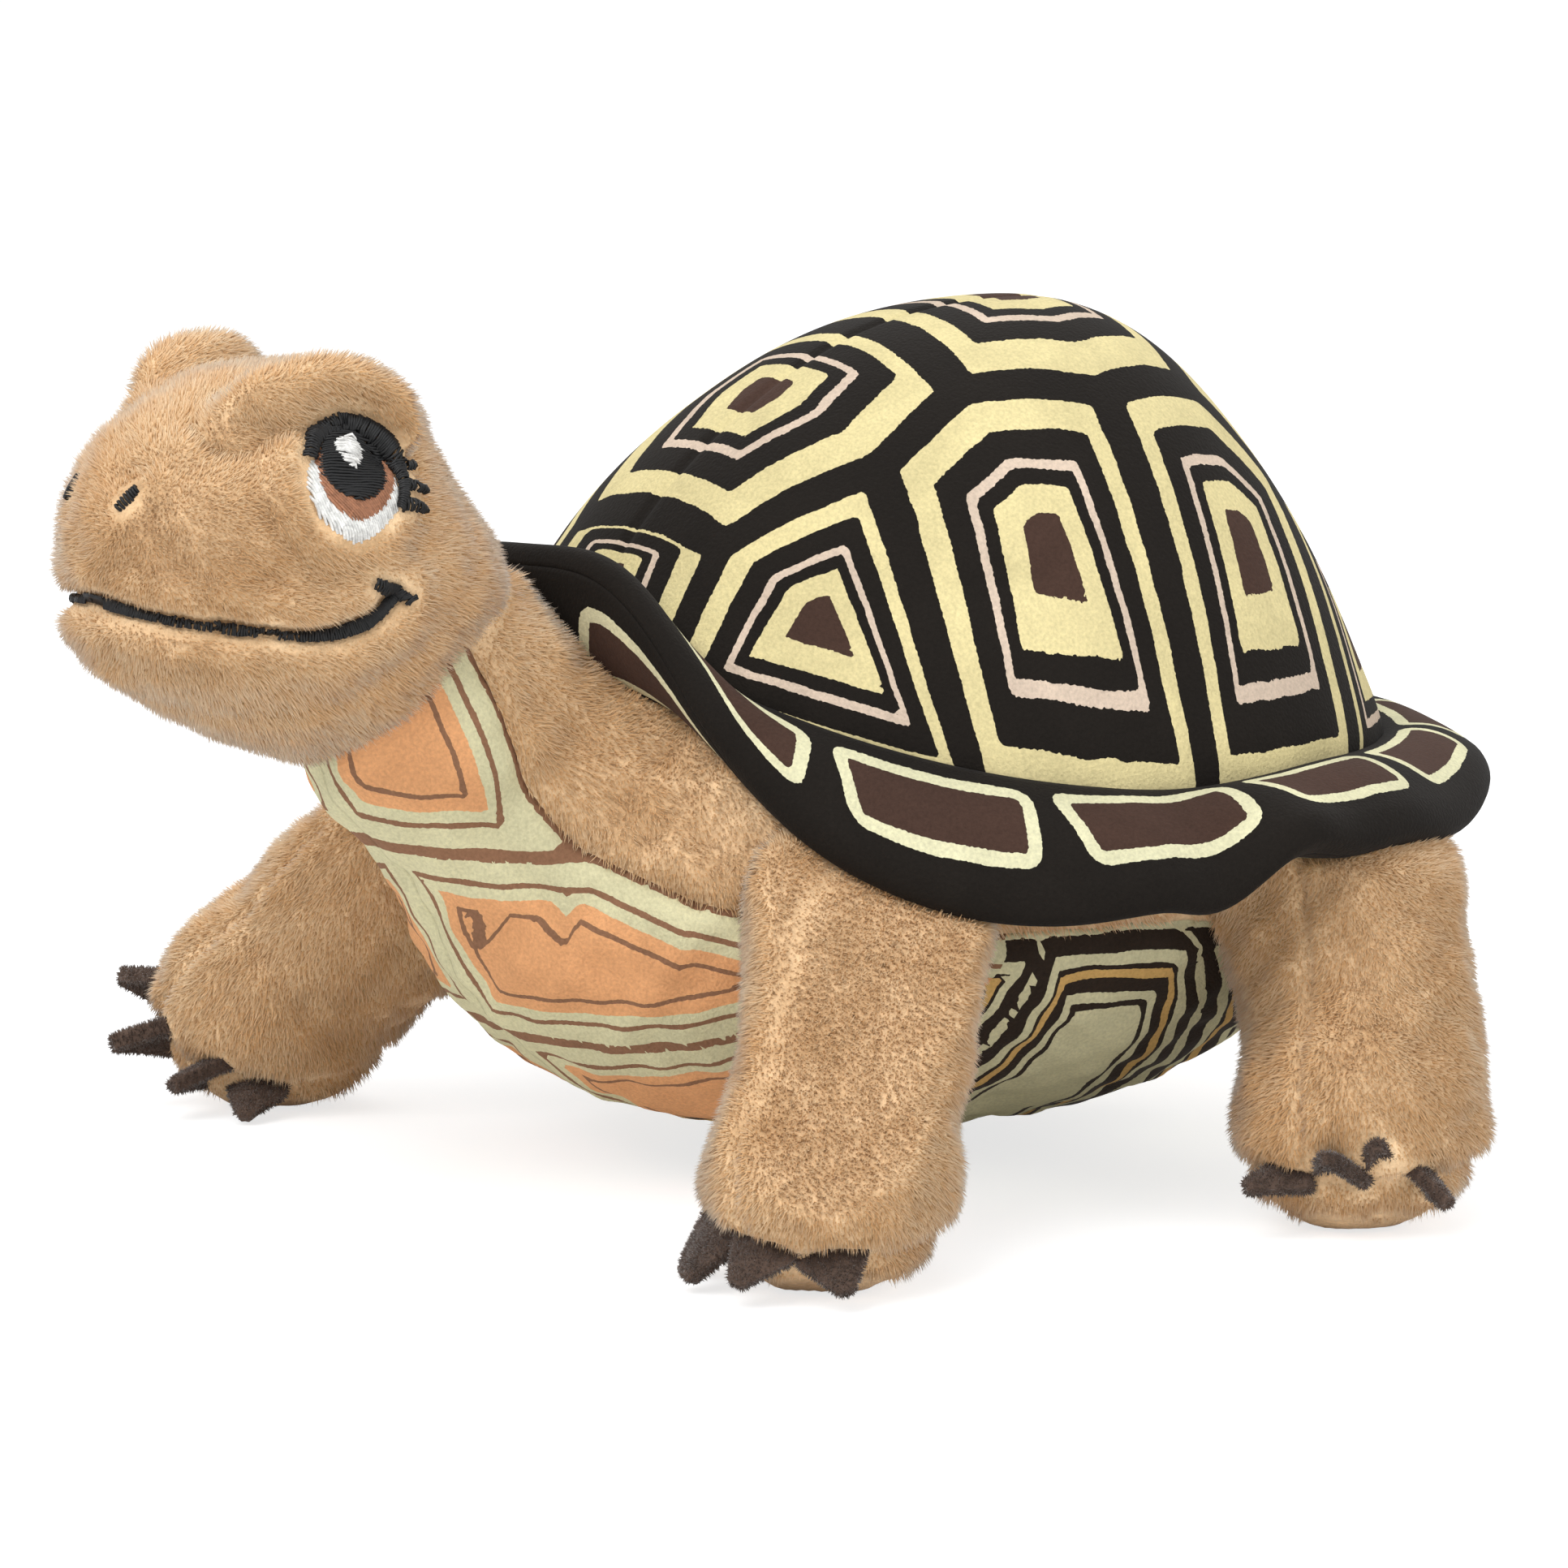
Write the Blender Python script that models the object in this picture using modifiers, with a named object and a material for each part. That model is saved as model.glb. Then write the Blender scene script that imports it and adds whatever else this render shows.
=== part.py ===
"""Stuffed plush turtle: padded shell, plush body, nodding head, four swinging legs and a tail.

Metres, +Z up. The turtle faces -Y, its left side is +X, and its soles stand on z = 0.
"""

import bmesh
import bpy
from math import cos, pi, radians, sin
from mathutils import Matrix, Vector

# Fabric and sewing
PLUSH_THICKNESS = 0.0011
SEAM_GAP = 0.0003
TURNING_GAP = 0.0006
STUFFING_GAP = 0.0005
WELD_DISTANCE = 0.000002
CUT_OVERRUN = 0.02
BODY_SWELL_SHARE = 1.125
HEAD_SWELL_SHARE = 1.112
LIMB_SWELL_SHARE = 1.155

# Shell dome
DOME_CENTRE_Y = 0.036
DOME_HALF_WIDTH = 0.0715
DOME_HALF_LENGTH = 0.0665
DOME_TOP_Z = 0.1315
DOME_TOP_Y = 0.042
DOME_FLANK_Z = 0.0575
DOME_FRONT_RISE = 0.020
DOME_REAR_RISE = 0.007
DOME_FRONT_ANGLE = 45.0
DOME_REAR_FROM = 80.0
DOME_REAR_TO = 115.0
SHELL_SEGMENTS = 32
DOME_BANDS = 6

# Flange round the dome
RIM_CENTRE_Y = 0.038
RIM_HALF_WIDTH = 0.0880
RIM_HALF_LENGTH = 0.0780
RIM_FLANK_Z = 0.0470
RIM_COLLAR_RISE = 0.0490
RIM_REAR_RISE = 0.0120
RIM_PADDING = 0.0042
RIM_EDGE_PADDING = 0.0008
RIM_PINCH_LIFT = 0.0040
RIM_PINCH_TUCK = 0.0030
COLLAR_ANGLE = 28.0
RIM_REAR_FROM = 62.0
RIM_REAR_TO = 110.0
PINCH_ANGLE = 86.0
PINCH_SPREAD = 8.0

# Body and neck: sections from rump to neck
BODY_CENTRE_Y = 0.030
BODY_CENTRE_Z = 0.0470
BODY_HALF_LENGTH = 0.0680
BODY_HALF_WIDTH = 0.0660
BODY_HALF_HEIGHT = 0.0425
BODY_SIDES = 8
BODY_FRONT_Y = BODY_CENTRE_Y - BODY_HALF_LENGTH
BODY_REAR_Y = BODY_CENTRE_Y + BODY_HALF_LENGTH
NECK_REACH = 0.0185
NECK_RISE = 0.0265
NECK_BALL_Y = BODY_FRONT_Y - NECK_REACH
NECK_BALL_Z = BODY_CENTRE_Z + NECK_RISE
NECK_BALL_RADIUS = 0.0190
NECK_BALL_HALF_WIDTH = 0.0215
NECK_PITCH = 52.0
CHEST_INSET = 0.0050
CHEST_RISE = 0.0120
CHEST_Y = BODY_FRONT_Y + CHEST_INSET
CHEST_Z = BODY_CENTRE_Z + CHEST_RISE
CHEST_HALF_WIDTH = 0.0400
CHEST_HALF_HEIGHT = 0.0300
CHEST_PITCH = 30.0
THROAT_SEAM_Z = 0.0730
BELLY_SEAM_Z = 0.0405

# Head
HEAD_REACH = 0.0265
HEAD_RISE = 0.0240
HEAD_CENTRE_Y = NECK_BALL_Y - HEAD_REACH
HEAD_CENTRE_Z = NECK_BALL_Z + HEAD_RISE
HEAD_HALF_LENGTH = 0.0335
HEAD_HALF_WIDTH = 0.0290
HEAD_HALF_HEIGHT = 0.0300
HEAD_SIDES = 8
BROW_X = 0.0170
BROW_REACH = 0.0015
BROW_RISE = 0.0237
BROW_Y = HEAD_CENTRE_Y - BROW_REACH
BROW_Z = HEAD_CENTRE_Z + BROW_RISE
BROW_HALF_WIDTH = 0.0102
BROW_HALF_LENGTH = 0.0165
BROW_HALF_HEIGHT = 0.0100
BROW_SPLAY = 18.0

# Embroidery
THREAD_HEIGHT = 0.0007
EYE_X = 0.0246
EYE_REACH = 0.0020
EYE_RISE = 0.0135
EYE_Y = HEAD_CENTRE_Y - EYE_REACH
EYE_Z = HEAD_CENTRE_Z + EYE_RISE
EYE_HALF_WIDTH = 0.0078
EYE_HALF_HEIGHT = 0.0098
EYE_TILT = 30.0
EYE_LEAN = -14.0
IRIS_HALF_WIDTH = 0.0060
IRIS_HALF_HEIGHT = 0.0076
PUPIL_HALF_WIDTH = 0.0040
PUPIL_HALF_HEIGHT = 0.0054
GLINT_RADIUS = 0.0017
LID_WIDTH = 0.0016
LID_FROM = -20.0
LID_TO = 200.0
LASH_LENGTH = 0.0030
EYE_SEGMENTS = 16
NOSTRIL_X = 0.0077
NOSTRIL_RISE = 0.0110
NOSTRIL_Z = HEAD_CENTRE_Z + NOSTRIL_RISE
NOSTRIL_HALF_WIDTH = 0.0013
NOSTRIL_HALF_HEIGHT = 0.0022
MOUTH_CORNER_DROP = 0.0010
MOUTH_DIP_DROP = 0.0070
MOUTH_CORNER_Z = HEAD_CENTRE_Z - MOUTH_CORNER_DROP
MOUTH_DIP_Z = HEAD_CENTRE_Z - MOUTH_DIP_DROP
MOUTH_WIDTH = 0.0014
CHIN_SEAM_RISE = 0.0065
CHIN_SEAM_BACK_Z = NECK_BALL_Z + CHIN_SEAM_RISE

# Legs
LEG_HIP_RADIUS = 0.0195
LEG_SHANK_RADIUS = 0.0180
FOOT_RADIUS = 0.0190
FOOT_HEIGHT = 0.0185
SOLE_FLAT = 0.0005
SOLE_SEAM_Z = 0.0075
SOLE_SEAM_TILT = 3.0
LEG_SIDES = 6
FRONT_HIP_SIDE_INSET = 0.0100
FRONT_HIP_END_INSET = 0.0190
FRONT_HIP_DROP = 0.0085
FRONT_HIP = (BODY_HALF_WIDTH - FRONT_HIP_SIDE_INSET, BODY_FRONT_Y + FRONT_HIP_END_INSET,
             BODY_CENTRE_Z - FRONT_HIP_DROP)
FRONT_FOOT_OUT = 0.0210
FRONT_FOOT_AHEAD = 0.0195
FRONT_KNEE_OUT = 0.0040
FRONT_KNEE_RISE = 0.0040
FRONT_TOE_TURN = 14.0
REAR_HIP_SIDE_INSET = 0.0070
REAR_HIP_END_INSET = 0.0340
REAR_HIP_DROP = 0.0040
REAR_HIP = (BODY_HALF_WIDTH - REAR_HIP_SIDE_INSET, BODY_REAR_Y - REAR_HIP_END_INSET,
            BODY_CENTRE_Z - REAR_HIP_DROP)
REAR_FOOT_OUT = 0.0260
REAR_FOOT_AHEAD = 0.0140
REAR_KNEE_OUT = 0.0030
REAR_KNEE_RISE = 0.0030
REAR_TOE_TURN = 27.0
HIP_POCKET_RADIUS = 0.0190
HIP_CLEARANCE = 0.0010
LEG_SWING = 20.0

# Claws
CLAW_LENGTH = 0.0090
CLAW_BASE = 0.0030
CLAW_THICKNESS = 0.0016
CLAW_COUNT = 4
CLAW_SPREAD = 100.0
CLAW_DROOP = 0.0050

# Tail
TAIL_OVERHANG = 0.0005
TAIL_DROP = 0.0050
TAIL_BALL_Y = BODY_REAR_Y + TAIL_OVERHANG
TAIL_BALL_Z = BODY_CENTRE_Z - TAIL_DROP
TAIL_RADIUS = 0.0085
TAIL_LENGTH = 0.0190
TAIL_PITCH = -32.0

# Tables of shares, chosen by hand
DOME_HEIGHT_POWER = 1.40
DOME_FLOOR_SHARES = (0.34, 0.68, 1.0)
FLOOR_MIDDLE_SHARE = 0.2
RIM_SHARES = (0.0, 0.3, 0.65, 0.93, 1.0)
# Body sections: length share, width share, height share, lift share, pitch in degrees
BODY_SECTION_SHARES = (
    (0.95, 0.40, 0.42, 0.06, 0.0),
    (0.76, 0.75, 0.80, 0.03, 0.0),
    (0.40, 0.97, 0.97, 0.0, 0.0),
    (0.0, 1.0, 1.0, 0.0, 0.0),
    (-0.42, 0.94, 0.97, 0.03, 3.0),
    (-0.72, 0.78, 0.86, 0.14, 15.0),
)
# Head sections from the back of the head to the snout: length, width, top and bottom shares
HEAD_SECTION_SHARES = (
    (0.90, 0.52, 0.45, -0.30),
    (0.66, 0.82, 0.76, -0.62),
    (0.34, 0.98, 0.95, -0.90),
    (-0.04, 1.0, 1.0, -1.0),
    (-0.42, 0.95, 0.88, -0.94),
    (-0.72, 0.81, 0.68, -0.76),
    (-0.93, 0.56, 0.42, -0.50),
)
# Plastron seam from the throat to the rump: length share from the body's centre, height share
PLASTRON_SEAM_SHARES = (
    (-1.42, 1.06),
    (-1.30, 0.93),
    (-1.24, 0.62),
    (-1.18, 0.37),
    (-1.00, 0.19),
    (-0.40, 0.0),
    (0.76, 0.0),
)
# Mouth line from the snout to the corner: length share, height share between dip and corner
MOUTH_LINE_SHARES = ((-0.95, 0.70), (-0.55, 0.22), (-0.18, 0.0), (0.12, 0.30), (0.26, 1.0))
LASH_ANGLES = (-8.0, 10.0, 28.0)
NECK_ROOT_SHARE = 0.35
NECK_ROOT_PITCH_SHARE = 0.85
NECK_ROOT_WIDTH_SHARE = 1.1
NECK_ROOT_HEIGHT_SHARE = 1.02
NECK_END_SHARE = 0.8
NECK_OPENING_SHARE = 0.7
POLE_LIFT_SHARE = 0.06
GLINT_FORWARD_SHARE = 0.3
GLINT_UP_SHARE = 0.42
IRIS_UP_SHARE = 0.10
LASH_WIDTH_SHARE = 0.3
TAIL_TAPER_SHARE = 0.25
TAIL_MOUTH_SHARE = 0.7
# Angles round a limb's two ends where its cage has a ring
HIP_RING_CLIMBS = (50.0,)
TOE_RING_CLIMBS = (5.0, 55.0)


def clear_scene():
    """Remove every object, so that the script can run twice in one file."""
    for old in list(bpy.data.objects):
        bpy.data.objects.remove(old, do_unlink=True)


def new_collection(name):
    collection = bpy.data.collections.new(name)
    bpy.context.scene.collection.children.link(collection)
    return collection


def new_material(name, colour, roughness):
    material = bpy.data.materials.new(name)
    material.use_nodes = True
    shader = material.node_tree.nodes["Principled BSDF"]
    shader.inputs["Base Color"].default_value = (*colour, 1.0)
    shader.inputs["Roughness"].default_value = roughness
    shader.inputs["Metallic"].default_value = 0.0
    return material


def mesh_object(name, bm):
    """Turn a bmesh into an object of the working collection."""
    mesh = bpy.data.meshes.new(name)
    bm.to_mesh(mesh)
    bm.free()
    made = bpy.data.objects.new(name, mesh)
    WORKING.objects.link(made)
    return made


def lofted(name, rings, start=None, end=None, wrap=False, cage=False):
    """Skin over rings of points, closed by a pole at each end or wrapped round on itself."""
    bm = bmesh.new()
    loops = [[bm.verts.new(point) for point in ring] for ring in rings]
    pairs = list(zip(loops, loops[1:]))
    if wrap:
        pairs.append((loops[-1], loops[0]))
    for low, high in pairs:
        for i in range(len(low)):
            j = (i + 1) % len(low)
            bm.faces.new((low[i], low[j], high[j], high[i]))
    for pole, loop in ((start, loops[0]), (end, loops[-1])):
        if pole is not None:
            tip = bm.verts.new(pole)
            for i in range(len(loop)):
                bm.faces.new((loop[i], loop[(i + 1) % len(loop)], tip))
    if not cage:
        bmesh.ops.triangulate(bm, faces=bm.faces, quad_method="SHORT_EDGE")
    bmesh.ops.recalc_face_normals(bm, faces=bm.faces)
    return mesh_object(name, bm)


def applied(thing):
    """Replace an object's mesh by what its modifiers make of it."""
    depsgraph = bpy.context.evaluated_depsgraph_get()
    mesh = bpy.data.meshes.new_from_object(thing.evaluated_get(depsgraph))
    thing.modifiers.clear()
    thing.data = mesh
    return thing


def copied(thing, name):
    twin = thing.copy()
    twin.data = thing.data.copy()
    twin.name = name
    WORKING.objects.link(twin)
    return twin


def softened(cage):
    """Round a coarse cage with one level of Subdivision Surface."""
    soft = cage.modifiers.new("soft", "SUBSURF")
    soft.levels = 1
    soft.render_levels = 1
    flat = cage.modifiers.new("flat", "TRIANGULATE")
    flat.quad_method = "SHORTEST_DIAGONAL"
    return applied(cage)


def core(cage, form, name):
    """A plain stuffing for a soft form: its cage, drawn onto the form and then in from the cloth."""
    plain = copied(cage, name + "_cage")
    for vertex, spot in zip(plain.data.vertices, form.data.vertices):
        vertex.co = spot.co
    flat = plain.modifiers.new("flat", "TRIANGULATE")
    flat.quad_method = "SHORTEST_DIAGONAL"
    stuffing = swollen(applied(plain), name, -PLUSH_THICKNESS - STUFFING_GAP)
    discard(plain)
    return stuffing


def swollen(thing, name, distance):
    """A copy of a form, grown outwards by a distance or drawn in by a negative one."""
    twin = copied(thing, name)
    grow = twin.modifiers.new("grow", "DISPLACE")
    grow.mid_level = 0.0
    grow.strength = distance
    return applied(twin)


def fabric(thing, name, thickness, offset=-1.0):
    """A skin of cloth on a form: inwards for offset -1, outwards for offset 1."""
    twin = copied(thing, name)
    wall = twin.modifiers.new("cloth", "SOLIDIFY")
    wall.thickness = thickness
    wall.offset = offset
    return applied(twin)


def cut(thing, cutter, operation="DIFFERENCE"):
    knife = thing.modifiers.new("cut", "BOOLEAN")
    knife.operation = operation
    knife.solver = "EXACT"
    knife.object = cutter
    applied(thing)
    bm = bmesh.new()
    bm.from_mesh(thing.data)
    bmesh.ops.remove_doubles(bm, verts=bm.verts, dist=WELD_DISTANCE)
    bm.to_mesh(thing.data)
    bm.free()
    return thing


def discard(*things):
    for thing in things:
        bpy.data.objects.remove(thing, do_unlink=True)


def mirrored(thing, name):
    """The same piece on the turtle's right side."""
    twin = copied(thing, name)
    twin.data.transform(Matrix.Scale(-1.0, 4, Vector((1.0, 0.0, 0.0))))
    twin.data.flip_normals()
    return twin


def smooth_share(value, low, high):
    """0 below low, 1 above high and a smooth step between them."""
    share = min(max((value - low) / (high - low), 0.0), 1.0)
    return share * share * (3.0 - 2.0 * share)


def block(name, low, high):
    bm = bmesh.new()
    bmesh.ops.create_cube(bm, size=1.0)
    size = Vector(high) - Vector(low)
    centre = (Vector(high) + Vector(low)) / 2.0
    bmesh.ops.transform(bm, matrix=Matrix.Translation(centre) @ Matrix.Diagonal((*size, 1.0)), verts=bm.verts)
    return mesh_object(name, bm)


def ball(name, centre, half_sizes, turn=Matrix.Identity(4), segments=20, rings=12):
    bm = bmesh.new()
    bmesh.ops.create_uvsphere(bm, u_segments=segments, v_segments=rings, radius=1.0)
    place = Matrix.Translation(centre) @ turn @ Matrix.Diagonal((*half_sizes, 1.0))
    bmesh.ops.transform(bm, matrix=place, verts=bm.verts)
    return mesh_object(name, bm)


def prism(name, outline, place, low, high):
    """A flat outline in the local XY plane, extruded from low to high along local Z."""
    return lofted_prism(name, [place @ Vector((x, y, low)) for x, y in outline],
                        [place @ Vector((x, y, high)) for x, y in outline])


def lofted_prism(name, bottom, top):
    bm = bmesh.new()
    low = [bm.verts.new(point) for point in bottom]
    high = [bm.verts.new(point) for point in top]
    for i in range(len(low)):
        j = (i + 1) % len(low)
        bm.faces.new((low[i], low[j], high[j], high[i]))
    bm.faces.new(low)
    bm.faces.new(high)
    bmesh.ops.recalc_face_normals(bm, faces=bm.faces)
    return mesh_object(name, bm)


def side_prism(name, outline, half_width):
    """An outline of (y, z) points, extruded along X to both sides."""
    return lofted_prism(name, [Vector((-half_width, y, z)) for y, z in outline],
                        [Vector((half_width, y, z)) for y, z in outline])


# Shell surfaces. Angles run from the front, 0 degrees, round to the rear, 180 degrees.
def dome_edge_z(angle):
    away = abs(angle)
    front = 1.0 / (1.0 + (away / DOME_FRONT_ANGLE) ** 3)
    rear = smooth_share(away, DOME_REAR_FROM, DOME_REAR_TO)
    return DOME_FLANK_Z + DOME_FRONT_RISE * front + DOME_REAR_RISE * rear


def dome_edge(angle, grow=0.0):
    turn = radians(angle)
    x = (DOME_HALF_WIDTH + grow) * sin(turn)
    y = DOME_CENTRE_Y - (DOME_HALF_LENGTH + grow) * cos(turn)
    return Vector((x, y, dome_edge_z(angle)))


def rim_edge(angle):
    turn = radians(angle)
    away = abs(angle)
    pinch = pinch_share(away)
    collar = 1.0 / (1.0 + (away / COLLAR_ANGLE) ** 4)
    x = (RIM_HALF_WIDTH - RIM_PINCH_TUCK * pinch) * sin(turn)
    y = RIM_CENTRE_Y - RIM_HALF_LENGTH * cos(turn)
    rear = smooth_share(away, RIM_REAR_FROM, RIM_REAR_TO)
    z = RIM_FLANK_Z + RIM_COLLAR_RISE * collar + RIM_REAR_RISE * rear
    return Vector((x, y, z + RIM_PINCH_LIFT * pinch))


def pinch_share(away):
    """The tuck sewn into each flank of the flange, as a bump round its angle."""
    return 1.0 / (1.0 + ((away - PINCH_ANGLE) / PINCH_SPREAD) ** 4)


def angles(count):
    return [360.0 * i / count - 180.0 for i in range(count)]


def flange_point(angle, share, rise):
    """A point of the flange, share of the way out to the rim and a rise off its middle surface."""
    outer = rim_edge(angle)
    slope = outer - dome_edge(angle)
    lean = max(slope.z / slope.length, 0.0) * (padding_half(0.0) + SEAM_GAP + PLUSH_THICKNESS)
    inner = dome_edge(angle, 2.0 * SEAM_GAP + lean)
    along = outer - inner
    flat = Vector((along.x, along.y, 0.0))
    up = Vector((-flat.normalized().x * along.z, -flat.normalized().y * along.z, flat.length)).normalized()
    return inner + along * share + up * rise


def padding_half(share):
    swell = sin(pi * min(max(share / RIM_SHARES[-2], 0.0), 1.0))
    return (RIM_EDGE_PADDING + (RIM_PADDING - RIM_EDGE_PADDING) * swell) / 2.0


def cloth_rise(share):
    """Where the flange's cloth starts: over the padding, and sewn face to face at the edge."""
    return SEAM_GAP / 2.0 if share == 1.0 else padding_half(share) + SEAM_GAP


def flange_sheet(name, side):
    """One face of the flange: side 1 is the upper cloth, side -1 the lower one."""
    sections = []
    for angle in angles(SHELL_SEGMENTS):
        near = [flange_point(angle, share, side * cloth_rise(share)) for share in RIM_SHARES]
        rises = [side * (cloth_rise(share) + PLUSH_THICKNESS) for share in RIM_SHARES]
        far = [flange_point(angle, share, rise) for share, rise in zip(RIM_SHARES, rises)]
        sections.append(near + far[::-1])
    return lofted(name, sections, wrap=True)


def flange_padding(name):
    sections = []
    for angle in angles(SHELL_SEGMENTS):
        over = [flange_point(angle, share, padding_half(share)) for share in RIM_SHARES[:-1]]
        under = [flange_point(angle, share, -padding_half(share)) for share in RIM_SHARES[:-1]]
        sections.append(over + under[::-1])
    return lofted(name, sections, wrap=True)


def floor_point(angle, share, rise):
    """A point of the floor between shell and body, which dips from its edge to its middle."""
    edge = dome_edge(angle)
    middle = Vector((0.0, DOME_CENTRE_Y, DOME_FLANK_Z + DOME_FRONT_RISE * FLOOR_MIDDLE_SHARE))
    flat = middle.lerp(edge, share)
    flat.z = middle.z + (edge.z - middle.z) * share ** 2 + rise
    return flat


def floor_rings(shares, rise, count):
    return [[floor_point(angle, share, rise) for angle in angles(count)] for share in shares]


def dome_point(angle, climb, inset):
    """A point of the dome: climb runs from 0 degrees at its edge to 90 degrees at its top."""
    edge = dome_edge(angle, -inset)
    edge.z += PLUSH_THICKNESS / 2.0 + SEAM_GAP
    top = Vector((0.0, DOME_TOP_Y, DOME_TOP_Z - inset))
    point = top.lerp(edge, cos(radians(climb)))
    point.z = edge.z + (top.z - edge.z) * sin(radians(climb)) ** DOME_HEIGHT_POWER
    return point


def dome_rings(inset):
    climbs = [90.0 * i / DOME_BANDS for i in range(DOME_BANDS)]
    return [[dome_point(angle, climb, inset) for angle in angles(SHELL_SEGMENTS)] for climb in climbs]


def build_shell():
    """The dome's two sewn halves, its stuffing, the floor and the padded flange."""
    dome = lofted("dome_surface", dome_rings(0.0), end=(0.0, DOME_TOP_Y, DOME_TOP_Z))
    bm = bmesh.new()
    bm.from_mesh(dome.data)
    everything = bm.verts[:] + bm.edges[:] + bm.faces[:]
    bmesh.ops.bisect_plane(bm, geom=everything, plane_co=(SEAM_GAP / 2.0, 0.0, 0.0),
                           plane_no=(-1.0, 0.0, 0.0), clear_outer=True, dist=SEAM_GAP / 100.0)
    half = mesh_object("half_dome", bm)
    left = fabric(half, "dome_panel_left", PLUSH_THICKNESS)
    right = mirrored(left, "dome_panel_right")
    inset = PLUSH_THICKNESS + 2.0 * SEAM_GAP
    rise = PLUSH_THICKNESS / 2.0 + SEAM_GAP
    floor = floor_rings(DOME_FLOOR_SHARES[:-1], rise, SHELL_SEGMENTS)
    fill = floor + dome_rings(inset)
    middle = floor_point(0.0, 0.0, rise)
    top = (0.0, DOME_TOP_Y, DOME_TOP_Z - inset)
    stuffing = lofted("dome_stuffing", fill, start=middle, end=top)
    sheet = lofted("floor_surface", floor_rings(DOME_FLOOR_SHARES, 0.0, SHELL_SEGMENTS),
                   start=floor_point(0.0, 0.0, 0.0))
    base = fabric(sheet, "shell_base", PLUSH_THICKNESS, offset=0.0)
    discard(dome, half, sheet)
    return [left, right, stuffing, base, flange_sheet("rim_top", 1.0),
            flange_sheet("rim_bottom", -1.0), flange_padding("rim_padding")]


def shell_space(name):
    """What the shell takes up, down to a small gap below its floor and flange."""
    below = PLUSH_THICKNESS / 2.0 + SEAM_GAP
    rings = floor_rings(DOME_FLOOR_SHARES[:-1], -below, SHELL_SEGMENTS)
    for share in RIM_SHARES:
        drop = cloth_rise(share) + PLUSH_THICKNESS + 2.0 * SEAM_GAP
        rings.append([flange_point(angle, share, -drop) for angle in angles(SHELL_SEGMENTS)])
    ceiling = DOME_TOP_Z + CUT_OVERRUN
    edges = [rim_edge(angle) for angle in angles(SHELL_SEGMENTS)]
    rings.append([Vector((edge.x, edge.y, ceiling)) for edge in edges])
    return lofted(name, rings, start=floor_point(0.0, 0.0, -below), end=(0.0, RIM_CENTRE_Y, ceiling))


def section(centre, pitch, half_width, top, bottom, sides):
    """A ring of points round a spine that runs towards -Y, pitched up by an angle."""
    tilt = radians(pitch)
    up = Vector((0.0, sin(tilt), cos(tilt)))
    points = []
    for i in range(sides):
        turn = 2.0 * pi * i / sides
        height = top if sin(turn) > 0.0 else -bottom
        points.append(Vector(centre) + Vector((half_width * cos(turn), 0.0, 0.0)) + up * height * sin(turn))
    return points


def build_body_form():
    """The body from rump to neck, whose end is a ball about the nodding axis."""
    rings = []
    for length, width, height, lift, pitch in BODY_SECTION_SHARES:
        centre = (0.0, BODY_CENTRE_Y + length * BODY_HALF_LENGTH, BODY_CENTRE_Z + lift * BODY_HALF_HEIGHT)
        half_height = height * BODY_HALF_HEIGHT * BODY_SWELL_SHARE
        half_width = width * BODY_HALF_WIDTH * BODY_SWELL_SHARE
        rings.append(section(centre, pitch, half_width, half_height, -half_height, BODY_SIDES))
    chest_height = CHEST_HALF_HEIGHT * BODY_SWELL_SHARE
    rings.append(section((0.0, CHEST_Y, CHEST_Z), CHEST_PITCH, CHEST_HALF_WIDTH * BODY_SWELL_SHARE,
                         chest_height, -chest_height, BODY_SIDES))
    neck = Vector((0.0, NECK_BALL_Y, NECK_BALL_Z))
    root = neck.lerp(Vector((0.0, CHEST_Y, CHEST_Z)), NECK_ROOT_SHARE)
    root_height = NECK_BALL_RADIUS * NECK_ROOT_HEIGHT_SHARE * BODY_SWELL_SHARE
    rings.append(section(root, NECK_PITCH * NECK_ROOT_PITCH_SHARE,
                         NECK_BALL_HALF_WIDTH * NECK_ROOT_WIDTH_SHARE * BODY_SWELL_SHARE,
                         root_height, -root_height, BODY_SIDES))
    end_height = NECK_BALL_RADIUS * NECK_END_SHARE
    rings.append(section(neck, NECK_PITCH, NECK_BALL_HALF_WIDTH * NECK_END_SHARE,
                         end_height, -end_height, BODY_SIDES))
    rump = (0.0, BODY_REAR_Y, BODY_CENTRE_Z + POLE_LIFT_SHARE * BODY_HALF_HEIGHT)
    cage = lofted("body_cage", rings, start=rump, end=neck, cage=True)
    form = softened(copied(cage, "body_form"))
    stuffing = core(cage, form, "torso_stuffing")
    for piece, draw_in in ((form, 0.0), (stuffing, PLUSH_THICKNESS + STUFFING_GAP)):
        end = neck_ball("neck_ball", -draw_in)
        cut(piece, end, "UNION")
        discard(end)
    discard(cage)
    return form, stuffing


def neck_ball(name, grow):
    """The neck's round end, turned about the nodding axis."""
    half_sizes = (NECK_BALL_HALF_WIDTH + grow, NECK_BALL_RADIUS + grow, NECK_BALL_RADIUS + grow)
    stand = Matrix.Rotation(pi / 2.0, 4, "Y")
    tall = (half_sizes[2], half_sizes[1], half_sizes[0])
    return ball(name, (0.0, NECK_BALL_Y, NECK_BALL_Z), tall, turn=stand, segments=16, rings=10)


def plastron_outline(gap):
    points = []
    for length, height in PLASTRON_SEAM_SHARES:
        y = BODY_CENTRE_Y + length * BODY_HALF_LENGTH
        z = BELLY_SEAM_Z + height * (THROAT_SEAM_Z - BELLY_SEAM_Z)
        points.append((y, z + gap))
    rear = points[-1][0] + gap
    front = points[0][0] - CUT_OVERRUN
    under = [(rear, points[-1][1]), (rear, -CUT_OVERRUN), (front, -CUT_OVERRUN)]
    return [(front, points[0][1])] + points[:-1] + under


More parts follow.
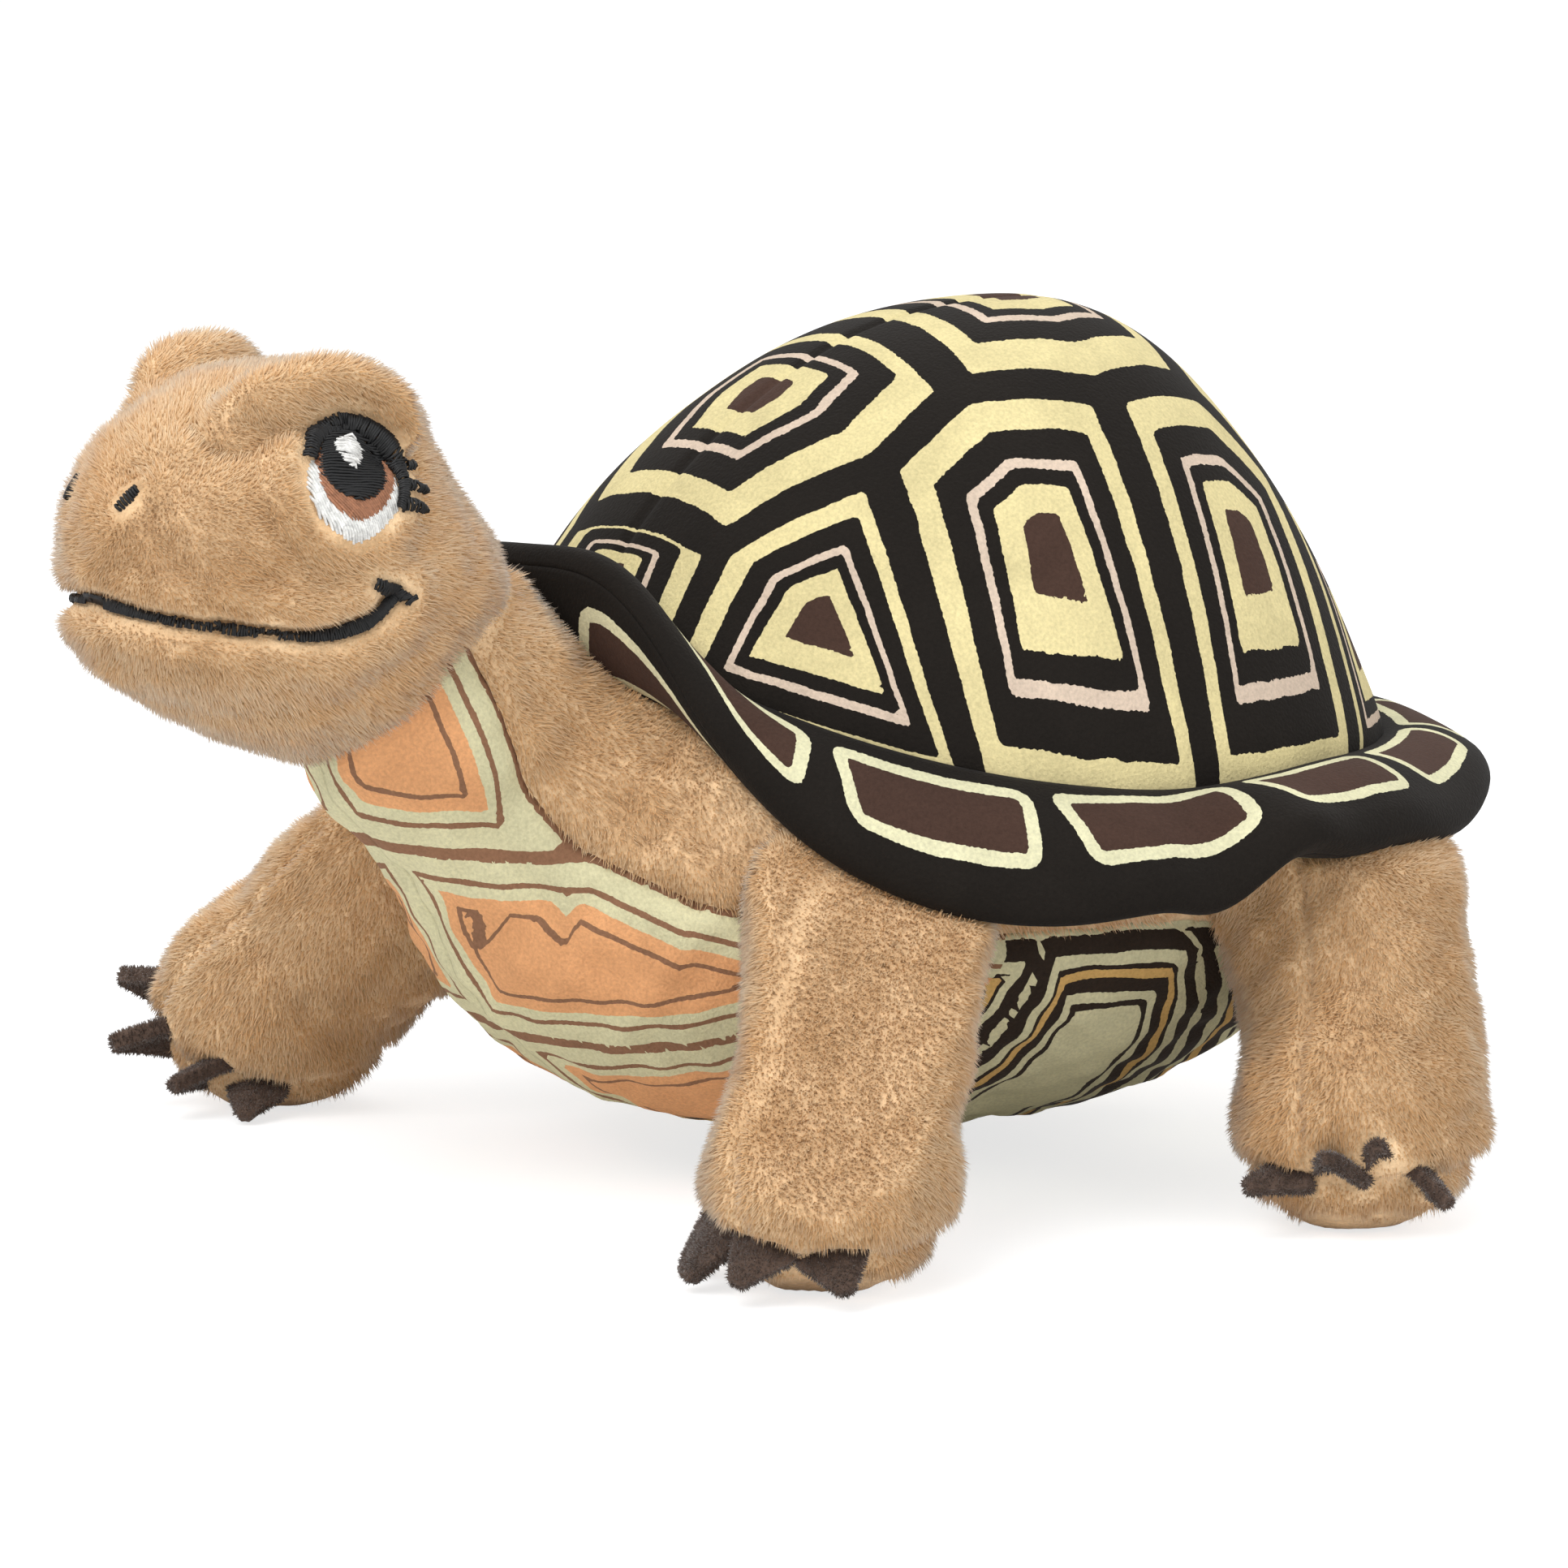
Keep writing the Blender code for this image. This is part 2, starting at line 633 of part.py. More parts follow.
def build_body(form, stuffing, shell_room, pockets):
    """Plush cover, two plastron panels and the stuffing between them."""
    cover = fabric(form, "torso_cover", PLUSH_THICKNESS)
    for piece in (cover, stuffing):
        cut(piece, shell_room)
        for pocket in pockets:
            cut(piece, pocket)
    wide = BODY_HALF_WIDTH + CUT_OVERRUN
    panel_space = side_prism("plastron_space", plastron_outline(0.0), wide)
    seam_space = side_prism("seam_space", plastron_outline(SEAM_GAP), wide)
    open_neck = open_end("neck_opening")
    cut(cover, open_neck)
    left = copied(cover, "belly_panel_left")
    cut(left, panel_space, "INTERSECT")
    far = BODY_CENTRE_Y + 2.0 * BODY_HALF_LENGTH
    side = block("left_side", (SEAM_GAP / 2.0, -far, -CUT_OVERRUN), (wide, far, DOME_TOP_Z))
    cut(left, side, "INTERSECT")
    right = mirrored(left, "belly_panel_right")
    cut(cover, seam_space)
    discard(panel_space, seam_space, side, open_neck)
    return [cover, left, right, stuffing]


def open_end(name):
    """The space beyond the neck seam, where the cover is open towards the head."""
    axis = neck_axis()
    turn = axis.to_track_quat("Z", "Y").to_matrix().to_4x4()
    place = Matrix.Translation(Vector((0.0, NECK_BALL_Y, NECK_BALL_Z))) @ turn
    half = NECK_BALL_HALF_WIDTH + SEAM_GAP * 4.0
    outline = [(-half, -half), (half, -half), (half, half), (-half, half)]
    return prism(name, outline, place, NECK_BALL_RADIUS * NECK_OPENING_SHARE, NECK_BALL_RADIUS * 2.0)


def neck_axis():
    return Vector((0.0, -cos(radians(NECK_PITCH)), sin(radians(NECK_PITCH))))


def hip_ball(name, hip, radius):
    """The round space that a leg's upper end turns in, with its poles on the hinge axis."""
    stand = Matrix.Rotation(pi / 2.0, 4, "Y")
    return ball(name, hip, (radius,) * 3, turn=stand, segments=16, rings=10)


def build_head_form():
    rings = []
    for length, width, top, bottom in HEAD_SECTION_SHARES:
        centre = (0.0, HEAD_CENTRE_Y + length * HEAD_HALF_LENGTH, HEAD_CENTRE_Z)
        rings.append(section(centre, 0.0, width * HEAD_HALF_WIDTH * HEAD_SWELL_SHARE,
                             top * HEAD_HALF_HEIGHT * HEAD_SWELL_SHARE,
                             bottom * HEAD_HALF_HEIGHT * HEAD_SWELL_SHARE, HEAD_SIDES))
    back = (0.0, HEAD_CENTRE_Y + HEAD_HALF_LENGTH, HEAD_CENTRE_Z + POLE_LIFT_SHARE * HEAD_HALF_HEIGHT)
    snout = (0.0, HEAD_CENTRE_Y - HEAD_HALF_LENGTH, HEAD_CENTRE_Z)
    cage = lofted("head_cage", rings, start=back, end=snout, cage=True)
    form = softened(copied(cage, "head_form"))
    stuffing = core(cage, form, "head_stuffing")
    discard(cage)
    return form, stuffing


def mouth_line():
    points = []
    for length, height in MOUTH_LINE_SHARES:
        y = HEAD_CENTRE_Y + length * HEAD_HALF_LENGTH
        points.append((y, MOUTH_DIP_Z + height * (MOUTH_CORNER_Z - MOUTH_DIP_Z)))
    return points


def chin_outline(gap):
    """The chin panel's seam: under the mouth, then down behind the cheek to the throat."""
    line = [(y, z - MOUTH_WIDTH + gap) for y, z in mouth_line()[:-1]]
    cheek = (mouth_line()[-1][0] + gap, line[-1][1])
    throat = (NECK_BALL_Y + gap, CHIN_SEAM_BACK_Z - NECK_BALL_RADIUS / 2.0)
    front = HEAD_CENTRE_Y - HEAD_HALF_LENGTH - CUT_OVERRUN
    low = HEAD_CENTRE_Z - HEAD_HALF_HEIGHT - CUT_OVERRUN
    return [(front, line[0][1])] + line + [cheek, throat, (throat[0], low), (front, low)]


def build_head(form, stuffing):
    """Plush head cover, chin panel, stuffing and the two padded brows."""
    socket = neck_ball("neck_socket", TURNING_GAP)
    cover = fabric(form, "head_cover", PLUSH_THICKNESS)
    cut(cover, socket)
    cut(stuffing, socket)
    wide = HEAD_HALF_WIDTH + CUT_OVERRUN
    chin_space = side_prism("chin_space", chin_outline(0.0), wide)
    seam_space = side_prism("chin_seam_space", chin_outline(SEAM_GAP), wide)
    chin = copied(cover, "chin_panel")
    cut(chin, chin_space, "INTERSECT")
    cut(cover, seam_space)
    room = swollen(form, "head_room", SEAM_GAP)
    turn = Matrix.Rotation(radians(BROW_SPLAY), 4, "Z")
    left = ball("brow_left", (BROW_X, BROW_Y, BROW_Z),
                (BROW_HALF_WIDTH, BROW_HALF_LENGTH, BROW_HALF_HEIGHT), turn, segments=12, rings=8)
    cut(left, room)
    stitches = swollen(form, "stitch_room", 2.0 * SEAM_GAP + THREAD_HEIGHT)
    lid = EYE_HALF_WIDTH + LID_WIDTH + LASH_LENGTH + SEAM_GAP
    opening = prism("lid_opening", ellipse(lid, EYE_HALF_HEIGHT + LID_WIDTH + 2.0 * SEAM_GAP), eye_place(),
                    -HEAD_HALF_WIDTH / 2.0, HEAD_HALF_WIDTH / 2.0)
    cut(opening, stitches, "INTERSECT")
    cut(left, opening)
    right = mirrored(left, "brow_right")
    discard(socket, chin_space, seam_space, room, stitches, opening)
    return [cover, chin, stuffing, left, right]


def eye_place():
    """The plane of the left eye: local X to the rear, local Y up, local Z out of the head."""
    out = Matrix.Rotation(radians(90.0 - EYE_TILT), 4, "Y")
    upright = Matrix.Rotation(radians(90.0 + EYE_LEAN), 4, "Z")
    return Matrix.Translation(Vector((EYE_X, EYE_Y, EYE_Z))) @ out @ upright


def ellipse(half_width, half_height, first=0.0, last=360.0, segments=EYE_SEGMENTS):
    steps = segments if last - first == 360.0 else segments + 1
    turns = [radians(first + (last - first) * i / segments) for i in range(steps)]
    return [(half_width * cos(turn), half_height * sin(turn)) for turn in turns]


def stitched(name, layer, outline, place, holes=()):
    """A patch of satin stitch: the part of the thread layer inside an outline."""
    depth = HEAD_HALF_WIDTH / 2.0
    patch = copied(layer, name)
    shape = prism(name + "_outline", outline, place, -depth, depth)
    cut(patch, shape, "INTERSECT")
    discard(shape)
    for hole in holes:
        shape = prism(name + "_hole", hole, place, -depth, depth)
        cut(patch, shape)
        discard(shape)
    return patch


def build_face(form):
    """Embroidered eyes, nostrils and smile, one layer of thread on the head cover."""
    ground = swollen(form, "thread_ground", SEAM_GAP)
    layer = fabric(ground, "thread_layer", THREAD_HEIGHT, offset=1.0)
    place = eye_place()
    gap = SEAM_GAP
    glint_place = place @ Matrix.Translation(Vector((-PUPIL_HALF_WIDTH * GLINT_FORWARD_SHARE,
                                                   PUPIL_HALF_HEIGHT * GLINT_UP_SHARE, 0.0)))
    iris_place = place @ Matrix.Translation(Vector((0.0, EYE_HALF_HEIGHT * IRIS_UP_SHARE, 0.0)))
    glint = ellipse(GLINT_RADIUS, GLINT_RADIUS)
    white = stitched("eye_white_left", layer, ellipse(EYE_HALF_WIDTH, EYE_HALF_HEIGHT), place)
    hole = prism("iris_hole", ellipse(IRIS_HALF_WIDTH + gap, IRIS_HALF_HEIGHT + gap), iris_place,
                 -HEAD_HALF_WIDTH, HEAD_HALF_WIDTH)
    cut(white, hole)
    iris = stitched("iris_left", layer, ellipse(IRIS_HALF_WIDTH, IRIS_HALF_HEIGHT), iris_place,
                    [ellipse(PUPIL_HALF_WIDTH + gap, PUPIL_HALF_HEIGHT + gap)])
    pupil = stitched("pupil_left", layer, ellipse(PUPIL_HALF_WIDTH, PUPIL_HALF_HEIGHT), iris_place)
    glint_hole = prism("glint_hole", ellipse(GLINT_RADIUS + gap, GLINT_RADIUS + gap), glint_place,
                       -HEAD_HALF_WIDTH, HEAD_HALF_WIDTH)
    cut(pupil, glint_hole)
    spark = stitched("eye_glint_left", layer, glint, glint_place)
    inner = ellipse(EYE_HALF_WIDTH + gap, EYE_HALF_HEIGHT + gap, LID_FROM, LID_TO)
    outer = ellipse(EYE_HALF_WIDTH + gap + LID_WIDTH, EYE_HALF_HEIGHT + gap + LID_WIDTH, LID_FROM, LID_TO)
    lid = stitched("eyelid_left", layer, lashes_on(outer) + inner[::-1], place)
    nostril_spot = Matrix.Translation(Vector((NOSTRIL_X, HEAD_CENTRE_Y - HEAD_HALF_LENGTH, NOSTRIL_Z)))
    face_on = nostril_spot @ Matrix.Rotation(pi / 2.0, 4, "X")
    spot = ellipse(NOSTRIL_HALF_WIDTH, NOSTRIL_HALF_HEIGHT, segments=12)
    nostril = stitched("nostril_left", layer, spot, face_on)
    band = mouth_line()
    over = [(y, z + MOUTH_WIDTH / 2.0) for y, z in band]
    under = [(y, z - MOUTH_WIDTH / 2.0) for y, z in band]
    front = HEAD_CENTRE_Y - HEAD_HALF_LENGTH - CUT_OVERRUN
    outline = [(front, over[0][1])] + over + under[::-1] + [(front, under[0][1])]
    slot = side_prism("mouth_outline", outline, HEAD_HALF_WIDTH * 2.0)
    mouth = copied(layer, "mouth_stitch")
    cut(mouth, slot, "INTERSECT")
    discard(ground, layer, hole, glint_hole, slot)
    pieces = [mouth]
    for piece in (white, iris, pupil, spark, lid, nostril):
        pieces += [piece, mirrored(piece, piece.name.replace("_left", "_right"))]
    return pieces


def lashes_on(outer):
    """Give the lid's outer edge three short lashes at the rear corner."""
    points = list(outer)
    for lash in LASH_ANGLES[::-1]:
        turn = radians(lash)
        reach = Vector((cos(turn), sin(turn)))
        root = Vector(((EYE_HALF_WIDTH + LID_WIDTH) * cos(turn), (EYE_HALF_HEIGHT + LID_WIDTH) * sin(turn)))
        tip = root + reach * LASH_LENGTH
        across = Vector((-reach.y, reach.x)) * LID_WIDTH * LASH_WIDTH_SHARE
        spot = min(range(len(points)), key=lambda i: (Vector(points[i]) - root).length)
        points[spot:spot + 1] = [tuple(root - across), tuple(tip - across / 2.0),
                                 tuple(tip + across / 2.0), tuple(root + across)]
    return points


def limb_cage(name, start, knee, end, start_radius, middle_radius, end_radius, sides):
    """A stuffed limb: two round ends and a bowed run between them over the knee, softened from a cage."""
    axis = (Vector(end) - Vector(start)).normalized()
    frame = axis.to_track_quat("Z", "Y").to_matrix()
    stations = []
    for climb in HIP_RING_CLIMBS:
        behind = axis * start_radius * sin(radians(climb))
        stations.append((Vector(start) - behind, start_radius * cos(radians(climb))))
    stations.append((knee, middle_radius))
    for climb in TOE_RING_CLIMBS:
        beyond = axis * end_radius * sin(radians(climb))
        stations.append((Vector(end) + beyond, end_radius * cos(radians(climb))))
    rings = []
    for centre, radius in stations:
        ring = []
        for i in range(sides):
            turn = 2.0 * pi * i / sides
            ring.append(centre + frame @ Vector((cos(turn), sin(turn), 0.0)) * radius * LIMB_SWELL_SHARE)
        rings.append(ring)
    tip = Vector(start) - axis * start_radius * LIMB_SWELL_SHARE
    toe = Vector(end) + axis * end_radius * LIMB_SWELL_SHARE
    return lofted(name, rings, start=tip, end=toe, cage=True)


def stood(thing, level):
    """Cut a form flat at a level, where it stands on its soft sole."""
    low = -FOOT_RADIUS - CUT_OVERRUN
    reach = BODY_HALF_WIDTH + FOOT_RADIUS * 4.0
    ground = block("ground", (-reach, -reach * 2.0, low), (reach, reach * 2.0, level))
    cut(thing, ground)
    discard(ground)
    return thing


def turned(thing, name, spot, angle):
    """A copy of a form, turned about the hinge that runs along X through a spot."""
    twin = copied(thing, name)
    turn = Matrix.Rotation(radians(angle), 4, "X")
    twin.data.transform(Matrix.Translation(spot) @ turn @ Matrix.Translation(-Vector(spot)))
    return twin


def swing_room(body_form, hip):
    """The body as a leg meets it over its whole swing, less the pocket that the hip turns in."""
    room = swollen(body_form, "swing_room", HIP_CLEARANCE)
    still = copied(room, "still_body")
    for angle in (LEG_SWING, -LEG_SWING):
        swung = turned(still, "swung_body", hip, angle)
        cut(room, swung, "UNION")
        discard(swung)
    pocket = hip_ball("hip_room", hip, HIP_POCKET_RADIUS - TURNING_GAP)
    cut(room, pocket)
    discard(still, pocket)
    return room


def build_leg(place, hip, foot_x, foot_y, knee_bow, toe_turn, body_room):
    """One left leg: cover, sole, stuffing and claws."""
    foot = (foot_x, foot_y, FOOT_HEIGHT)
    knee = (Vector(hip) + Vector(foot)) / 2.0 + Vector(knee_bow)
    cage = limb_cage("leg_cage", hip, knee, foot, LEG_HIP_RADIUS, LEG_SHANK_RADIUS, FOOT_RADIUS, LEG_SIDES)
    form = softened(copied(cage, "leg_form"))
    drop = Matrix.Translation(Vector((0.0, 0.0, -lowest(form) - SOLE_FLAT)))
    form.data.transform(drop)
    stuffing = core(cage, form, "leg_stuffing_" + place)
    stood(stuffing, PLUSH_THICKNESS + STUFFING_GAP)
    stood(form, 0.0)
    skin = fabric(form, "skin", PLUSH_THICKNESS)
    cut(skin, body_room)
    cut(stuffing, body_room)
    lean = Matrix.Rotation(radians(toe_turn), 4, "Z") @ Matrix.Rotation(radians(-SOLE_SEAM_TILT), 4, "X")
    seam = Matrix.Translation(Vector((foot_x, foot_y, SOLE_SEAM_Z))) @ lean
    wide = FOOT_RADIUS * 4.0
    square = [(-wide, -wide), (wide, -wide), (wide, wide), (-wide, wide)]
    above = prism("above_sole", square, seam, -SEAM_GAP, wide * 2.0)
    under = prism("under_seam", square, seam, -wide * 2.0, 0.0)
    cover = copied(skin, "leg_cover_" + place)
    cut(cover, under)
    sole = copied(skin, "sole_" + place)
    cut(sole, above)
    claws = build_claws("claws_" + place, form, seam)
    discard(cage, form, skin, above, under)
    return [cover, sole, stuffing, claws]


def lowest(thing):
    return min(vertex.co.z for vertex in thing.data.vertices)


def build_claws(name, foot_form, seam):
    """Four felt points in one zigzag strip, sewn round the toes in the sole's seam."""
    steps = CLAW_COUNT * 2
    sections = []
    for i in range(steps + 1):
        turn = radians(CLAW_SPREAD * (i / steps - 0.5))
        tip = i % 2
        reach = FOOT_RADIUS + (CLAW_LENGTH if tip else CLAW_BASE)
        towards = Vector((sin(turn), -cos(turn), 0.0))
        near = towards * (FOOT_RADIUS - CLAW_BASE)
        far = towards * reach - Vector((0.0, 0.0, CLAW_DROOP if tip else 0.0))
        rise = Vector((0.0, 0.0, CLAW_THICKNESS))
        sections.append([seam @ point for point in (near, far, far + rise, near + rise)])
    first = sum(sections[0], Vector()) / len(sections[0])
    last = sum(sections[-1], Vector()) / len(sections[-1])
    claws = lofted(name, sections, start=first, end=last)
    room = swollen(foot_form, "foot_room", SEAM_GAP)
    cut(claws, room)
    discard(room)
    return claws


def build_tail():
    """A short tapered tail whose root is a ball about its hinge."""
    start = Vector((0.0, TAIL_BALL_Y, TAIL_BALL_Z))
    along = Vector((0.0, cos(radians(TAIL_PITCH)), sin(radians(TAIL_PITCH))))
    form = ball("tail_form", start, (TAIL_RADIUS,) * 3, segments=12, rings=8)
    for vertex in form.data.vertices:
        out = vertex.co - start
        lead = out.dot(along)
        if lead > 0.0:
            side = out - along * lead
            share = lead / TAIL_RADIUS
            vertex.co = start + along * TAIL_LENGTH * share + side * (1.0 - TAIL_TAPER_SHARE * share)
    cover = fabric(form, "tail_cover", PLUSH_THICKNESS)
    stuffing = swollen(form, "tail_stuffing", -PLUSH_THICKNESS - STUFFING_GAP)
    mouth = barrel_along("tail_mouth", start, -along, TAIL_RADIUS * TAIL_MOUTH_SHARE)
    cut(cover, mouth)
    discard(form, mouth)
    return [cover, stuffing]


def barrel_along(name, start, direction, radius):
    place = Matrix.Translation(start) @ direction.to_track_quat("Z", "Y").to_matrix().to_4x4()
    return prism(name, ellipse(radius, radius, segments=12), place, 0.0, TAIL_RADIUS * 2.0)


def finish(pieces, slots):
    """Put the pieces in the model's collection, each with its own material."""
    for piece in pieces:
        WORKING.objects.unlink(piece)
        MODEL.objects.link(piece)
        piece.data.name = piece.name
        colour, roughness = next(look for key, look in slots if piece.name.startswith(key))
        piece.data.materials.clear()
        piece.data.materials.append(new_material(piece.name, colour, roughness))
        piece.data.shade_smooth()
        piece.data.set_sharp_from_angle(angle=radians(40.0))


def hinge(name, spot, pieces):
    """An empty on a hinge's axis, which carries the pieces that swing about it."""
    pivot = bpy.data.objects.new(name, None)
    pivot.location = spot
    pivot.empty_display_size = NECK_BALL_RADIUS
    MODEL.objects.link(pivot)
    for piece in pieces:
        piece.parent = pivot
        piece.matrix_parent_inverse = Matrix.Translation(-Vector(spot))


TAN = ((0.52, 0.28, 0.13), 0.9)
BLACK_THREAD = ((0.015, 0.014, 0.013), 0.6)
PRINTED = ((0.30, 0.25, 0.13), 0.9)
WADDING = ((0.86, 0.85, 0.82), 0.95)
LOOKS = (
    ("dome_stuffing", WADDING), ("dome_panel", PRINTED), ("shell_base", ((0.03, 0.025, 0.02), 0.9)),
    ("rim_padding", WADDING), ("rim", ((0.045, 0.03, 0.025), 0.9)),
    ("torso_stuffing", WADDING), ("torso", TAN), ("belly", ((0.64, 0.59, 0.37), 0.9)),
    ("head_stuffing", WADDING), ("head", TAN), ("chin", TAN), ("brow", TAN),
    ("eye_white", ((0.72, 0.70, 0.67), 0.5)), ("iris", ((0.50, 0.26, 0.15), 0.5)),
    ("pupil", BLACK_THREAD), ("eyelid", BLACK_THREAD), ("eye_glint", ((0.85, 0.85, 0.85), 0.4)),
    ("nostril", BLACK_THREAD), ("mouth", BLACK_THREAD),
    ("leg_stuffing", WADDING), ("leg", TAN), ("sole", TAN), ("claws", ((0.045, 0.026, 0.018), 0.9)),
    ("tail_stuffing", WADDING), ("tail", TAN),
)

clear_scene()
MODEL = new_collection("plush_turtle")
WORKING = new_collection("cutters")

shell = build_shell()
body_form, torso_stuffing = build_body_form()
room = shell_space("shell_space")
pockets = []
for hip in (FRONT_HIP, REAR_HIP):
    pocket = hip_ball("hip_pocket", hip, HIP_POCKET_RADIUS)
    pockets += [pocket, mirrored(pocket, "hip_pocket_right")]
pockets.append(ball("tail_pocket", (0.0, TAIL_BALL_Y, TAIL_BALL_Z), (TAIL_RADIUS + TURNING_GAP,) * 3,
                    segments=16, rings=10))
body = build_body(body_form, torso_stuffing, room, pockets)
head_form, head_stuffing = build_head_form()
head = build_head(head_form, head_stuffing) + build_face(head_form)
legs = {}
for end, hip, out, ahead, bow, toes in (
    ("front", FRONT_HIP, FRONT_FOOT_OUT, FRONT_FOOT_AHEAD, (FRONT_KNEE_OUT, 0.0, FRONT_KNEE_RISE), FRONT_TOE_TURN),
    ("rear", REAR_HIP, REAR_FOOT_OUT, REAR_FOOT_AHEAD, (REAR_KNEE_OUT, 0.0, REAR_KNEE_RISE), REAR_TOE_TURN),
):
    leg_room = swing_room(body_form, hip)
    left = build_leg(end + "_left", hip, hip[0] + out, hip[1] - ahead, bow, toes, leg_room)
    discard(leg_room)
    legs[end + "_left"] = (hip, left)
    right = [mirrored(piece, piece.name.replace("_left", "_right")) for piece in left]
    legs[end + "_right"] = ((-hip[0], hip[1], hip[2]), right)
tail = build_tail()
discard(body_form, head_form, room, *pockets)

finish(shell + body + head + tail, LOOKS)
hinge("head_nod_axis", (0.0, NECK_BALL_Y, NECK_BALL_Z), head)
hinge("tail_axis", (0.0, TAIL_BALL_Y, TAIL_BALL_Z), tail)
for place, (spot, pieces) in legs.items():
    finish(pieces, LOOKS)
    hinge("hip_axis_" + place, spot, pieces)
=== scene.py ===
"""Looks of the stuffed plush turtle: sewn cloth, pile, print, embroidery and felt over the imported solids.

Metres, +Z up. The turtle faces -Y and its left side is +X.
"""

from math import cos, pi, radians, sin

import bmesh
import bpy
import numpy as np
from mathutils import Matrix, Vector
from mathutils.bvhtree import BVHTree
from mathutils.kdtree import KDTree


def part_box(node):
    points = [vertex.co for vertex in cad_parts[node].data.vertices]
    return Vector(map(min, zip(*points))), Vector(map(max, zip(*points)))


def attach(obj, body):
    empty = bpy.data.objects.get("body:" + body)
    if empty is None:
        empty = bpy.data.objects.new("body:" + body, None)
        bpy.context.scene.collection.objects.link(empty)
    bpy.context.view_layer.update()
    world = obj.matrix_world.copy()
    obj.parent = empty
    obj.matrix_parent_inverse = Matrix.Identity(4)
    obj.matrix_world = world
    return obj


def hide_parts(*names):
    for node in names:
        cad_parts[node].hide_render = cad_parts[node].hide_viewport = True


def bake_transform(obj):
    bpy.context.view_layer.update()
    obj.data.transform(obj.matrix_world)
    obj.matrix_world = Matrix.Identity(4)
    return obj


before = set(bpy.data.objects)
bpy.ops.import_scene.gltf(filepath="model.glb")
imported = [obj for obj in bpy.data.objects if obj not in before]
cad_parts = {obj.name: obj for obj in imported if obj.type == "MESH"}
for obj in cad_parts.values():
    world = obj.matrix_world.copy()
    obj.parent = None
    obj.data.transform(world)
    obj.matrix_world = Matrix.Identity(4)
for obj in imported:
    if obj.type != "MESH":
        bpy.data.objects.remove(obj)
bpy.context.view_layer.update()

SIDES = {"left": 1.0, "right": -1.0}

# Cells that the soft forms are grown in, and how uneven the stuffing leaves them
TORSO_CELL, HEAD_CELL, LEG_CELL, TAIL_CELL = 0.0016, 0.00095, 0.0013, 0.0009
TORSO_UNEVEN, HEAD_UNEVEN, LEG_UNEVEN = 0.00045, 0.00035, 0.00040

# Cloth and pile
CLOTH = 0.0009
PILE_DENSITY = 5.6e6
PILE_LENGTH = 0.0020
PILE_WIDTH = 0.00012
PILE_LIE = 0.85
PILE_UNRULY = 0.27
PILE_SOFTNESS = 1.2
FUZZ_DENSITY = 1.6
FUZZ_LENGTH = 0.35
THREAD_RADIUS = 0.00026
STITCH_PITCH = 0.40
PRINT_LINE = 3.2
RIM_OUTLINE = 1.9
SEAM_DEPTH = 0.0013
SEAM_SPREAD = 0.0014
SHELL_GAP = 0.0006
FLOOR_CLEARANCE = 0.0004

# Shell: the dome is measured from its packed panel
DOME_LOW, DOME_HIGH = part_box("dome_panel_left")
DOME_HALF_WIDTH = DOME_HIGH.x - 0.0019
DOME_HALF_LENGTH = (DOME_HIGH.y - DOME_LOW.y) / 2.0
DOME_CENTRE_Y = (DOME_HIGH.y + DOME_LOW.y) / 2.0 - 0.0026
DOME_TOP = Vector((0.0, DOME_CENTRE_Y + 0.0127, DOME_HIGH.z - 0.0013))
DOME_FLANK_Z = 0.0574
DOME_FRONT_RISE = 0.0203
DOME_FRONT_ANGLE = 52.0
DOME_REAR_RISE = 0.0032
DOME_REAR_ANGLES = (80.0, 115.0)
DOME_HEIGHT_POWER = 1.36
DOME_REAR_POWER = 0.165
DOME_REAR_POWER_ANGLES = (60.0, 150.0)
DOME_CROWN_FULLNESS = 0.26
DOME_CROWN_ANGLES = (50.0, 82.0)
DOME_GATHERS = 0.00032
DOME_SWELL = 0.0009
RIM_CENTRE_Y = 0.0363
RIM_HALF_WIDTH = 0.0880
RIM_HALF_LENGTH = 0.0765
RIM_FLANK_Z = 0.0470
RIM_COLLAR_RISE = 0.0490
RIM_COLLAR_ANGLE = 28.0
RIM_REAR_RISE = 0.0100
RIM_REAR_ANGLES = (62.0, 110.0)
RIM_PUFF = 0.0046
RIM_EDGE_HALF = 0.0019
RIM_TUCK_ANGLE = 86.0
RIM_TUCK_SPREAD = 7.0
RIM_TUCK_RISE = 0.0050
RIM_TUCK_DROP = 0.0034
# Waves of the flange: height, number round the edge and shift in degrees
RIM_WAVES = ((0.0011, 5.0, 40.0), (0.0007, 11.0, 0.0))

# Body, neck and head
BODY_CENTRE = (0.0, 0.030, 0.0470)
BODY_HALF_SIZES = (0.0655, 0.0680, 0.0425)
CHEST_CENTRE = (0.0, -0.0140, 0.0450)
CHEST_HALF_SIZES = (0.0500, 0.0380, 0.0340)
NECK_SPINE = ((0.0, -0.0350, 0.0560), (0.0, -0.0565, 0.0735), (0.0, -0.0640, 0.0850))
NECK_RADII = (0.0265, 0.0200, 0.0180)
CHEST_FILLET = 0.016
NECK_FILLET = 0.012
THROAT_FILLET = 0.006
TORSO_SEAM_DEPTH = 0.0011
BELLY_SEAM_DEPTH = 0.0007
SKIN_UNDER_PILE = 0.0014


def smooth_step(value, low, high):
    share = np.clip((value - low) / (high - low), 0.0, 1.0)
    return share * share * (3.0 - 2.0 * share)


def bump(value, spread):
    """A soft bump of height 1 round zero."""
    return np.exp(-((value / spread) ** 2))


# Meshes
def linked(name, data):
    """A new object for some data, put into the scene."""
    made = bpy.data.objects.new(name, data)
    bpy.context.scene.collection.objects.link(made)
    return made


def new_object(name, points, faces, edges=()):
    mesh = bpy.data.meshes.new(name)
    mesh.from_pydata([tuple(point) for point in points], list(edges), faces)
    mesh.update()
    return linked(name, mesh)


